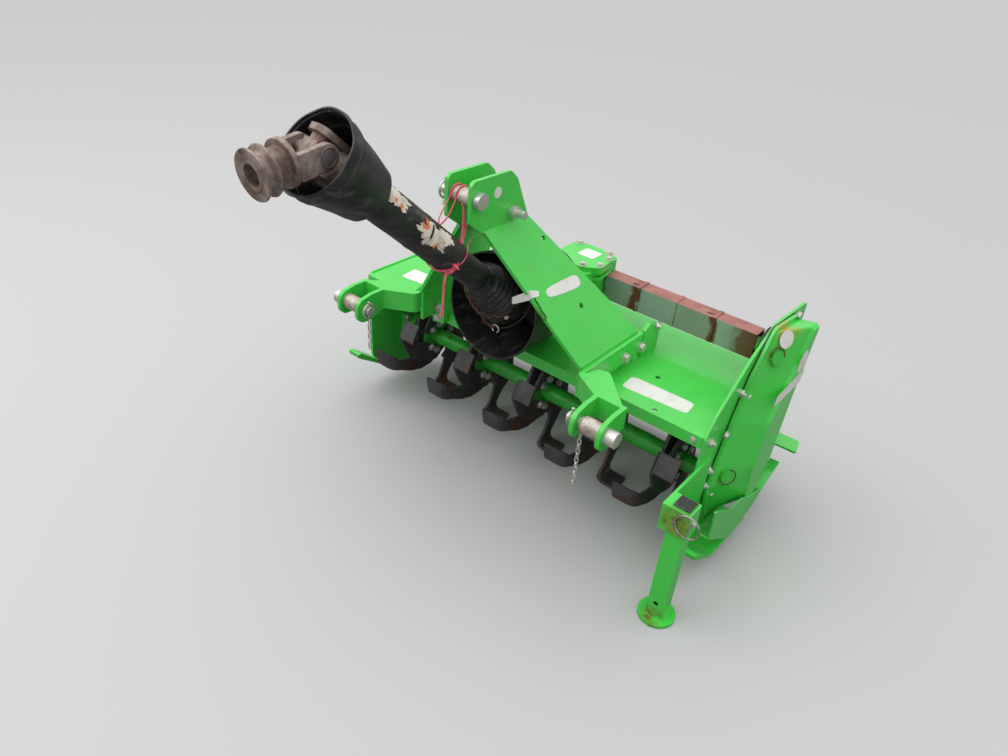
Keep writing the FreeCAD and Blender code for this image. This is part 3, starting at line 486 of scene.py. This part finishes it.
made_of("hitch_bolts", hitch_set, zinc, "frame")
made_of("cover_bolts", bolts(cover_bolts, 13.0, 7.0), zinc, "frame")
case_set = bolts(flange_bolts, 13.0, 7.0) + nuts(plate_nuts, 15.0, 7.0, 12.0)
made_of("case_bolts", case_set, zinc, "frame")
made_of("bearing_bolts", bolts(bearing_bolts, 15.0, 7.0), zinc, "frame")

# Tine bolts. Two bolts clamp each pair of tines through their flange.
rotor_at = np.array([348.0, 178.0])
flange_places, flange_thick, tine_thick = (-405.0, -207.0, -9.0, 189.0, 387.0), 8.0, 8.1
root_bolts = ((-41.0, -9.0), (-38.0, 17.0))
tine_bolts = []
for flange in flange_places:
    for side, first in ((1, 0.0), (-1, 80.0)):
        for turn in np.radians(first + np.array([0.0, 120.0, 240.0])):
            for a, b in root_bolts:
                forward = a * np.cos(turn) + b * np.sin(turn)
                down = b * np.cos(turn) - a * np.sin(turn)
                x = flange + (flange_thick + tine_thick if side > 0 else -tine_thick)
                tine_bolts.append((x, rotor_at[0] - forward, rotor_at[1] - down, (side, 0, 0)))
made_of("tine_bolts", bolts(tine_bolts, 15.0, 8.0), zinc, "rotor")

# Blank plates. White vinyl stickers without any print on the deck, the mast, the gearbox and the gear
# case, their corners round, a little soiled.
deck_top, mast_face, case_face = 390.0, 33.5, 565.0


def vinyl_colour(tree):
    """Off-white with faint grey clouds."""
    return mixed(tree, spots(tree, 30.0, 0.5, 0.8), (0.76, 0.75, 0.73), (0.58, 0.58, 0.54))


vinyl = finish("white_vinyl", vinyl_colour, (0.35, 0.5), ripple=(200.0, 0.02))


def sticker(corners, lift=0.45, roundness=5.0):
    """A thin plate over four corners taken in turn: a superellipse |u|^n + |v|^n = 1 on their bilinear
    patch, raised along the patch's normal. The corners run so that the normal points outwards."""
    p = np.array(corners, float)
    out = np.cross(p[1] - p[0], p[3] - p[0])
    out = out / np.linalg.norm(out)
    angle = np.linspace(0, 2 * np.pi, 56, endpoint=False)
    u = np.sign(np.cos(angle)) * np.abs(np.cos(angle)) ** (2 / roundness)
    v = np.sign(np.sin(angle)) * np.abs(np.sin(angle)) ** (2 / roundness)
    u, v = (u[:, None] + 1) / 2, (v[:, None] + 1) / 2
    flat = p[0] * (1 - u) * (1 - v) + p[1] * u * (1 - v) + p[2] * u * v + p[3] * (1 - u) * v
    return np.array([flat - 0.2 * out, flat + lift * out])


def round_sticker(centre, out, radius):
    """A thin round plate: four corners of a square across the outward direction, with n = 2."""
    square = radius * np.array([[[-1.0, -1.0, 0.0], [1.0, -1.0, 0.0], [1.0, 1.0, 0.0], [-1.0, 1.0, 0.0]]])
    return sticker(turned_to(square, centre, out)[0], roundness=2.0)


deck_labels = [[(277, 218), (433, 230), (428, 276), (274, 272)],
               [(-432, 236), (-335, 247), (-362, 297), (-438, 294)]]
case_labels = [([(452, 446), (500, 446), (500, 500), (452, 500)], 2.0),
               ([(361, 408), (505, 404), (520, 438), (363, 434)], 14.0)]
plates = [sticker([(x, y, deck_top) for x, y in label], roundness=9.0) for label in deck_labels]
cover_label = [(x, y, cover_top) for x, y in ((-8, 420), (38, 420), (38, 465), (-8, 465))]
plates += [sticker(cover_label, roundness=9.0),
           sticker([(139, 103, 593), (145, 213, 586), (126, 213, 610), (126, 101, 610)], roundness=4.0),
           round_sticker((mast_face, 44, 800), outwards, 11.0),
           round_sticker((532.0, 421.7, 536.2), (0.882, -0.383, 0.277), 20.0)]
plates += [sticker([(case_face, y, z) for y, z in label], roundness=power) for label, power in case_labels]
made_of("blank_stickers", [(plate, "tube") for plate in plates], vinyl, "frame")

# Driveline guards. The cones and tubes are thin mouldings of the same black plastic: the front cone has
# a rolled rim and a band behind it, its skin dented by use, the rear one is pleated like a boot, and
# the tubes slide in each other. They are remade here for their dents and pleats, the tubes thicker.
rear_joint = np.array([0.0, 148.0, 517.0])
drive_len, drive_slope = 661.0, np.radians(40.5)
drive_along = np.array([0.0, -np.cos(drive_slope), np.sin(drive_slope)])
drive_above = np.array([0.0, np.sin(drive_slope), np.cos(drive_slope)])
sleeve_r, rear_sleeve_r, sleeve_wall = 35.5, 29.5, 2.5
rim_r, rim_at = 72.0, drive_len - 2.0


def about_drive(s, r, angle):
    """Points s along the driveline from its rear joint, r from its axis, at an angle that is 0 towards
    the drive side and a quarter turn above: joint + s d + r (cos(a) x + sin(a) n)."""
    s, r, angle = np.broadcast_arrays(s, r, angle)
    across = np.cos(angle)[..., None] * np.array([1.0, 0.0, 0.0]) + np.sin(angle)[..., None] * drive_above
    return rear_joint + s[..., None] * drive_along + r[..., None] * across


def moulded(outline, wall, dents=0.0, folds=0.0):
    """A thin skin turned about the driveline from (s, r) points, then back inside by its wall. Dents of
    sin(3a + s/19) sin(2a - s/31) and folds of sin(9a + s/40) push it in and out."""
    s, r = np.array(outline, float).T
    t = np.linspace(0, len(s) - 1, 6 * (len(s) - 1) + 1)
    s, r = np.interp(t, np.arange(len(s)), s), np.interp(t, np.arange(len(r)), r)
    s, r = np.concatenate([s, s[::-1]]), np.concatenate([r, r[::-1] - wall])
    angle = np.linspace(0, 2 * np.pi, 72, endpoint=False)
    push = dents * np.sin(3 * angle + s[:, None] / 19.0) * np.sin(2 * angle - s[:, None] / 31.0)
    push = push + folds * np.sin(9 * angle + s[:, None] / 40.0)
    return about_drive(s[:, None], r[:, None] + push, angle)


def pleats(first, last, r_first, r_last, count, depth):
    """Outline points of a pleated boot: its radius falls evenly, with a ridge and a groove to each pleat."""
    s, r = np.linspace(first, last, 2 * count + 1), np.linspace(r_first, r_last, 2 * count + 1)
    return np.column_stack([s, r + depth * (np.arange(2 * count + 1) % 2)])


# Outlines are rows of distance along the driveline from its rear joint, and radius.
front_outline = [(521, sleeve_r + 1), (522, 45), (531, 51), (548, 55), (600, 63.5), (620, 67), (623, 69.5),
                 (634, 71.5), (637, 70), (rim_at - 6, rim_r - 1.5), (rim_at - 4, rim_r + 1.5),
                 (rim_at, rim_r + 1)]
rear_outline = [(148, 31.0), (140, 34.0), *pleats(132, 64, 36.5, 56.0, 5, 4.5), (58, 59.0), (40, 62.0),
                (22, 63.0)]
front_tube = [(250, sleeve_r - 1.0), (251, sleeve_r), (372, sleeve_r), (374, sleeve_r + 0.8),
              (380, sleeve_r + 0.8), (382, sleeve_r), (520, sleeve_r), (586, sleeve_r)]
rear_tube = [(84, rear_sleeve_r), (300, rear_sleeve_r), (398, rear_sleeve_r)]
# Each row: name, outline, wall, dents, folds, body, the CAD object that it stands for.
guards = [("front_guard_skin", front_outline, 3.0, 1.1, 0.5, "drive_front", "front_cone"),
          ("front_tube_skin", front_tube, sleeve_wall, 0.35, 0.0, "drive_front", "front_guard_tube"),
          ("rear_boot_skin", rear_outline, 2.5, 0.5, 0.4, "drive_rear", "rear_cone"),
          ("rear_tube_skin", rear_tube, sleeve_wall, 0.0, 0.0, "drive_rear", "rear_guard_tube")]
for name, outline, wall, dents, folds, body, stands_for in guards:
    skin = moulded(outline, wall, dents, folds)
    piece = made_of(name, [(skin, "ring")], black_plastic, body)
    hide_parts(stands_for)

# Torn labels. The paper safety labels on the front tube have torn to three ragged cream patches with
# faded orange left in them. No print is left.
def torn_colour(tree):
    """Cream paper, dirty in clouds, orange where its print has faded."""
    paper = mixed(tree, spots(tree, 40.0, 0.45, 0.7), (0.78, 0.72, 0.62), (0.42, 0.33, 0.26))
    return mixed(tree, spots(tree, 26.0, 0.56, 0.60), paper, (0.72, 0.22, 0.09))


torn_paper = finish("torn_paper", torn_colour, (0.6, 0.8))


def torn_patch(s, angle, long, wide, phase):
    """A ragged patch on the tube: an ellipse whose radius is
    1 + 0.16 sin(5t + p) + 0.12 sin(11t + 2p) + 0.08 sin(23t - p), with p its phase."""
    t = np.linspace(0, 2 * np.pi, 120, endpoint=False)
    edge = 1 + 0.16 * np.sin(5 * t + phase) + 0.12 * np.sin(11 * t + 2 * phase)
    edge = edge + 0.08 * np.sin(23 * t - phase)
    part = np.linspace(0.02, 1.0, 7)[:, None] * edge
    turn = np.radians(angle) + wide * part * np.sin(t) / sleeve_r
    return about_drive(s + long * part * np.cos(t), sleeve_r + 0.85, turn)


# Each row: place along the driveline, angle about it, half length, half width, phase of the torn edge.
torn_rows = [(494, 33, 38, 16, 0.4), (372, 8, 44, 20, 2.1), (332, 30, 24, 12, 4.0)]
patches = [(torn_patch(*row), "sleeve") for row in torn_rows]
made_of("torn_labels", patches, torn_paper, "drive_front")

# Tether chains. The pins hang on small welded chains of round wire, each link a quarter turn from the
# last, from an eye on the drive pin and from the linch ring of the plain one.
link_long, link_wide, link_wire, link_step = 15.4, 10.8, 1.65, 11.9


def link(place, turn):
    """A closed link of round wire: an oval a cos(t), b sin(t) flattened on its long sides, thickened."""
    t = np.linspace(0, 2 * np.pi, 28, endpoint=False)[:, None]
    around = np.linspace(0, 2 * np.pi, 8, endpoint=False)
    half = (link_long / 2 - link_wire, link_wide / 2 - link_wire)
    along, across = half[0] * np.cos(t), half[1] * np.sign(np.sin(t)) * np.abs(np.sin(t)) ** 0.7
    swell = link_wire * np.cos(around)
    z = along + swell * np.cos(t)
    side = across + swell * np.sin(t)
    flat = link_wire * np.sin(around) + 0 * t
    c, s = np.cos(turn), np.sin(turn)
    return np.stack([side * c - flat * s, side * s + flat * c, z], -1) + np.array(place)


def strand(path, radius, flat=1.0, closed=False, ease=8):
    """A round or flat tube along a path: Catmull-Rom through its points, and about each place the ring
    r cos(a) u + f r sin(a) v, with u and v square to the path."""
    p = np.array(path, float)
    if ease:
        q = np.vstack([2 * p[0] - p[1], p, 2 * p[-1] - p[-2]])
        t = np.linspace(0, 1, ease, endpoint=False)[None, :, None]
        a, b, c, d = (q[k:len(q) - 3 + k, None, :] for k in range(4))
        square, cube = (2 * a - 5 * b + 4 * c - d) * t ** 2, (3 * b - a - 3 * c + d) * t ** 3
        bend = 0.5 * (2 * b + (c - a) * t + square + cube)
        p = np.vstack([bend.reshape(-1, 3), p[-1:]])
    way = np.roll(p, -1, 0) - np.roll(p, 1, 0) if closed else np.gradient(p, axis=0)
    way = way / np.linalg.norm(way, axis=1, keepdims=True)
    u = np.cross(way, [0.31, 0.83, 0.46])
    u = u / np.linalg.norm(u, axis=1, keepdims=True)
    v = np.cross(way, u)
    around = np.linspace(0, 2 * np.pi, 8, endpoint=False)[None, :, None]
    return p[:, None] + radius * (np.cos(around) * u[:, None] + flat * np.sin(around) * v[:, None])


pin_height, eye_ring_r, eye_wire, hang_from = 428.0, 13.0, 1.6, 15.0
cad_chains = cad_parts["tether_chains"].data
hung = np.array([corner.co[:] for corner in cad_chains.vertices]) * 1000.0 + pin_line
links = []
for group in (hung[hung[:, 0] > 0], hung[hung[:, 0] < 0]):
    low, high = group.min(0), group.max(0)
    middle = (low[0] + high[0]) / 2
    top = min(high[2], pin_height - hang_from)
    count = int((top - low[2]) // link_step)
    first = top - link_long / 2
    links += [link((middle, 0.0, first - link_step * k), np.pi / 2 * (k % 2)) for k in range(count)]
    if high[2] > pin_height:
        turn = np.linspace(0, 2 * np.pi, 32, endpoint=False)
        eye = np.column_stack([middle + 0 * turn, eye_ring_r * np.cos(turn),
                               pin_height + eye_ring_r * np.sin(turn)])
        links.append(strand(eye, eye_wire, closed=True, ease=0))
chains = made_of("link_chains", [(piece, "ring") for piece in links], zinc, "frame")
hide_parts("tether_chains")

# Bell. Old steel bits hang about the boot inside the bell: the guard's anti-spin chain, rusted, wound
# round the boot and ending in a bright snap hook, a wire hoop in the boot's hem, and one bright screw.
def rust_colour(tree):
    """Dark rust with ochre specks."""
    return mixed(tree, spots(tree, 80.0, 0.5, 0.7), (0.10, 0.050, 0.032), (0.24, 0.11, 0.05))


rusty_wire = finish("rusty_wire", rust_colour, (0.55, 0.8), metal=0.3, ripple=(200.0, 0.4))
boot_s, boot_r = np.array(sorted(map(tuple, rear_outline))).T
# Ways of the chain over the boot: rows of distance along the driveline, and degrees about it.
chain_way = [(150, -104), (120, -98), (88, -92), (75, -66), (68, -36), (60, 0)]
chain_end = [(62, -84), (44, -92), (30, -84), (24, -72)]
hem_s, hem_r, hem_wire = 16.0, 67.0, 1.3
hook_r, hook_wire = 9.0, 1.5


def on_boot(way, lift):
    """Points that lie on the boot at (s, degrees) places, lifted off its skin."""
    s, angle = np.array(way, float).T
    return about_drive(s, np.interp(s, boot_s, boot_r) + lift, np.radians(angle))


def loose_links(path, long, wide, wire):
    """Links set one after another along a path, each turned a quarter about it from the last."""
    p = np.array(path, float)
    far = np.concatenate([[0.0], np.cumsum(np.linalg.norm(np.diff(p, axis=0), axis=1))])
    at = np.arange(long / 2, far[-1], long - 3.4 * wire)
    place = np.column_stack([np.interp(at, far, p[:, k]) for k in range(3)])
    ahead = np.column_stack([np.interp(at + 2.0, far, p[:, k]) for k in range(3)]) - place
    t = np.linspace(0, 2 * np.pi, 20)[:-1]
    loops = []
    for k, (middle, way) in enumerate(zip(place, ahead)):
        oval = np.column_stack([(wide / 2) * np.sin(t), 0 * t, (long / 2) * np.cos(t)])
        loops.append(strand(turned_to(oval, middle, way, 90.0 * k + 35.0), wire, closed=True, ease=0))
    return loops


wound = strand(on_boot(chain_way, 5.0), 1.0)[:, 0]
ending = strand(on_boot(chain_end, 6.0), 1.0)[:, 0]
hem_turn = np.linspace(0, 2 * np.pi, 64, endpoint=False)
hem = about_drive(hem_s + 3.0 * np.sin(hem_turn), hem_r + 0 * hem_turn, hem_turn)
chain_links = loose_links(wound, 15.0, 8.0, 1.2) + loose_links(ending, 13.0, 7.5, 1.2)
wires = [(piece, "ring") for piece in [*chain_links, strand(hem, hem_wire, closed=True, ease=0)]]
made_of("guard_chain", wires, rusty_wire, "drive_rear")
hook_turn = np.radians(np.arange(-60, 250, 15.0))
hook_shape = [hook_r * np.cos(hook_turn), 0 * hook_turn - 3.0, hook_r * np.sin(hook_turn)]
hook = on_boot(chain_end[-1:], 8.0)[0] + np.column_stack(hook_shape)
screw = on_boot([(48, -40)], 0.0)[0]
hook_set = [(strand(hook, hook_wire, ease=0), "tube"), *bolts([(*screw, (0.77, -0.55, 0.0))], 7.0, 4.0)]
made_of("snap_hook", hook_set, zinc, "drive_rear")

# Universal joints. Each cross has four needle bearing caps, and each cap sits in its fork's ear behind a
# spring ring, with rust about it. The cap's profile is rows of radius, and height over the ear.
fork_ear, cap_ring_r, cap_ring_wire = 37.0, 14.2, 1.5
cap_profile = ((12.0, -1.0), (12.0, 0.6), (9.5, 1.2), (0.5, 1.2))
front_joint = rear_joint + drive_len * drive_along
cap_turn = np.linspace(0, 2 * np.pi, 32, endpoint=False)
rings = []
cross_arms = ((front_joint, outwards), (rear_joint, outwards), (front_joint, drive_above),
              (rear_joint, drive_above))
for middle, out_way in cross_arms:
    for way in (1.0, -1.0):
        circle = np.column_stack([cap_ring_r * np.cos(cap_turn), cap_ring_r * np.sin(cap_turn), 0 * cap_turn])
        rings.append((middle, way * np.array(out_way, float), circle))
cap_rings = {"front_cross": [], "rear_cross": []}
for middle, way, circle in rings:
    body = "front_cross" if middle is front_joint else "rear_cross"
    seat = middle + way * (fork_ear + 0.4)
    face = np.array([[[r * np.cos(a), r * np.sin(a), h] for a in cap_turn] for r, h in cap_profile])
    ring = strand(turned_to(circle, seat, way), cap_ring_wire, closed=True, ease=0)
    cap_rings[body] += [(ring, "ring"), (turned_to(face, seat, way), "tube")]


def cap_colour(tree):
    """Blue-grey steel with a rusty bloom."""
    rusted = scaled(tree, spots(tree, 60.0, 0.5, 0.75), 0.7)
    return mixed(tree, rusted, (0.17, 0.165, 0.165), (0.22, 0.085, 0.045))


cap_steel = finish("bearing_cap_steel", cap_colour, (0.40, 0.62), metal=0.4)
made_of("front_bearing_caps", cap_rings["front_cross"], cap_steel, "front_cross")
made_of("rear_bearing_caps", cap_rings["rear_cross"], cap_steel, "rear_cross")

# Twine. Flat polypropylene twine, pink-red, ties the driveline up to the upper hitch pin: a turn round
# the guard tube, a knot, three taut strands over the pin's bushing and two loose ends.
def twine_colour(tree):
    """Pink-red with pale fibres along it."""
    fibres = spots(tree, 160.0, 0.5, 0.7, stretch=(1.0, 1.0, 0.2))
    return mixed(tree, fibres, (0.80, 0.085, 0.16), (0.90, 0.30, 0.34))


twine_red = finish("pink_twine", twine_colour, (0.5, 0.7), ripple=(400.0, 0.5))
knot_s, tied_r = 272.0, sleeve_r + 2.0
knot = about_drive(knot_s, tied_r + 1.0, np.radians(-24.0))
pin_y, pin_z, wrap = -13.0, 798.0, 18.0


def over_pin(x, first, last):
    """Points over the bushing at a place along it, from one angle to another about the pin."""
    angle = np.radians(np.linspace(first, last, 5))
    return np.column_stack([x + 3.0 * np.linspace(-1, 1, 5), pin_y - wrap * np.cos(angle),
                            pin_z + wrap * np.sin(angle)])


round_s, round_angle = np.linspace(knot_s, 322.0, 8), np.radians(np.linspace(-34.0, -256.0, 8))
behind = about_drive(round_s, tied_r, round_angle)
beside = about_drive(round_s - 5.0, tied_r + 0.5, round_angle)
first_strand = [knot, *behind, (-20, -58, 762), *over_pin(-18.0, -10, 190), (-10, 2, 764), (8, -22, 712),
                (24, -52, 694), knot]
second_strand = [knot, *beside, (-8, -48, 764), *over_pin(-4.0, -20, 200), (6, -2, 770),
                 (16, -30, 716), knot + [2.0, 1.0, 2.0]]
third_strand = [(12, -32, 790), (14, -30, 778), (17, -34, 738), (24, -50, 704), knot + [-2.0, 0.0, 3.0]]
fall = about_drive(np.array([271.0, 269.0, 267.0]), tied_r + 1.5, np.radians([-38.0, -50.0, -62.0]))
tail = [knot, *fall, *(fall[-1] - [[2, 1, 16], [5, 0, 38], [4, 2, 66], [7, 1, 96]])]
side_tail = [knot, knot + [6, 12, 8], knot + [4, 26, 18], knot + [-3, 36, 34], knot + [1, 40, 44]]
knob = [knot + [-5, -3, -4], knot + [3, -4, 3], knot + [5, 1, -3], knot + [-2, -4, 5], knot + [-5, 0, -2]]
# Each row: path, half width, flatness.
twine_rows = [(first_strand, 1.9, 0.7), (second_strand, 1.9, 0.7), (third_strand, 2.4, 0.6),
              (tail, 4.4, 0.35), (side_tail, 1.1, 0.8), (knob, 3.2, 0.8)]
twine = [(strand(*row), "tube") for row in twine_rows]
made_of("tie_twine", twine, twine_red, "frame")

# Rail tabs. Each hitch rail ends in a thick tab bolted before the deck's lip. Two small bolts belong here
# too, one in the lip and one at the stand's bail.
tab_y, tab_low, tab_high, tab_thick = 156.0, 366.0, 428.0, 22.0
bail_nut_at = (563.5, 58.0, 284.0)


def plate(corners, thick, out):
    """A thin plate over a flat outline, given in order, raised along an outward direction."""
    p, out = np.array(corners, float), np.array(out, float)
    return np.array([p, p + thick * out])


tabs = []
for side in (-1, 1):
    rows = ((235.5, tab_low), (200.0, tab_low + 6), (197.0, tab_high - 18), (204.0, tab_high - 6),
            (218.0, tab_high), (235.5, tab_high))
    tabs.append((plate([(side * x, tab_y, z) for x, z in rows], tab_thick, (0, 1, 0)), "tube"))
made_of("rail_tabs", tabs, green_paint, "frame")
tab_bolts = [(side * 218.0, tab_y, z, (0, -1, 0)) for side in (-1, 1) for z in (410.0, 384.0)]
lip_bolts = [(478.0, lip_front, 376.0, (0, -1, 0))]
made_of("tab_bolts", bolts(tab_bolts, 15.0, 7.0) + bolts(lip_bolts, 10.0, 5.0), zinc, "frame")
made_of("bail_nut", bolts([(*bail_nut_at, outwards)], 10.0, 7.0), zinc, "frame")

# Plug grooves. Rusty sealing compound has squeezed out round both screwed plugs of the gear case. The
# lower plug is found under 0.35 m, the upper one above it.
groove_r, groove_wire, plug_split = 18.6, 1.3, 0.35
plug_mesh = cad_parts["case_plugs"].data
plug_faces = sorted(plug_mesh.polygons, key=lambda face: -face.area)
grooves = []
for low, high in ((0.0, plug_split), (plug_split, 1.0)):
    face = [one for one in plug_faces if low < one.center[2] < high and one.normal[0] > 0.5][0]
    seat = np.array(face.center) * 1000.0 + pin_line - np.array(face.normal) * (5.0 if low else 3.2)
    circle = np.column_stack([groove_r * np.cos(cap_turn), groove_r * np.sin(cap_turn), 0 * cap_turn])
    groove = strand(turned_to(circle, seat, np.array(face.normal)), groove_wire, closed=True, ease=0)
    grooves.append((groove, "ring"))
made_of("plug_grooves", grooves, rusty_wire, "frame")

# Guard laps. Each section of the cross shaft's guard ends in a folded strap that laps the next one. Two small
# slots are punched in its top, the shade inside them painted as thin black plates on the top.
guard_front, guard_back, guard_low, guard_high = 441.0, 483.0, 448.0, 510.0
lap_wide, lap_thick = 9.0, 1.2
laps = []
lap_y0, lap_y1, lap_top = guard_front - lap_thick, guard_back + lap_thick, guard_high + lap_thick
band = np.array([[lap_y0, guard_low], [lap_y0, lap_top], [lap_y1, lap_top], [lap_y1, guard_low],
                 [guard_back, guard_low], [guard_back, guard_high], [guard_front, guard_high],
                 [guard_front, guard_low]])
for seam in (167.5, 266.0, 365.0):
    ends = [np.column_stack([x + 0 * band[:, 0], band]) for x in (seam - lap_wide, seam)]
    laps.append((np.array(ends), "tube"))
made_of("guard_laps", laps, rusty_box, "frame")
# Painted shade: black plates on the guard's top stand for the dark insides of its two slots.
shade_plate_z, shade_plate_thick, slot_shade_plates = guard_high + 0.1, 0.5, []
for x, y in ((140.0, 452.0), (338.0, 452.0)):
    corners = [(x, y, shade_plate_z), (x + 16, y + 2, shade_plate_z), (x + 16, y + 7, shade_plate_z), (x, y + 5, shade_plate_z)]
    slot_shade_plates.append((plate(corners, shade_plate_thick, (0, 0, 1)), "tube"))
made_of("guard_slot_shade_plates", slot_shade_plates, seal_and_slot_shade_black, "frame")

# Paper tags. A white paper tag is strapped round the front edge of the mast plate on the drive side, and
# a small one hangs by the upper pin.
tags = [sticker([(85, 52, 577), (129, 53, 604), (126, 53, 624), (83, 52, 593)], lift=0.8, roundness=10.0),
        sticker([(119, 58, 620), (125, 84, 612), (131, 78, 604), (128, 52, 608)], lift=1.2, roundness=10.0),
        sticker([(-58, -12, 762), (-50, -12, 765), (-46, -12, 790), (-54, -12, 787)], lift=0.8,
                roundness=10.0)]
made_of("paper_tags", [(tag, "tube") for tag in tags], vinyl, "frame")
tag_strap = [(131, 62, 606), (141, 66, 593), (150, 67, 582), (158, 71, 571), (161, 65, 567), (157, 57, 573),
             (148, 59, 584)]
made_of("tag_strap", [(strand(tag_strap, 2.4, 0.3), "tube")], rusty_wire, "frame")
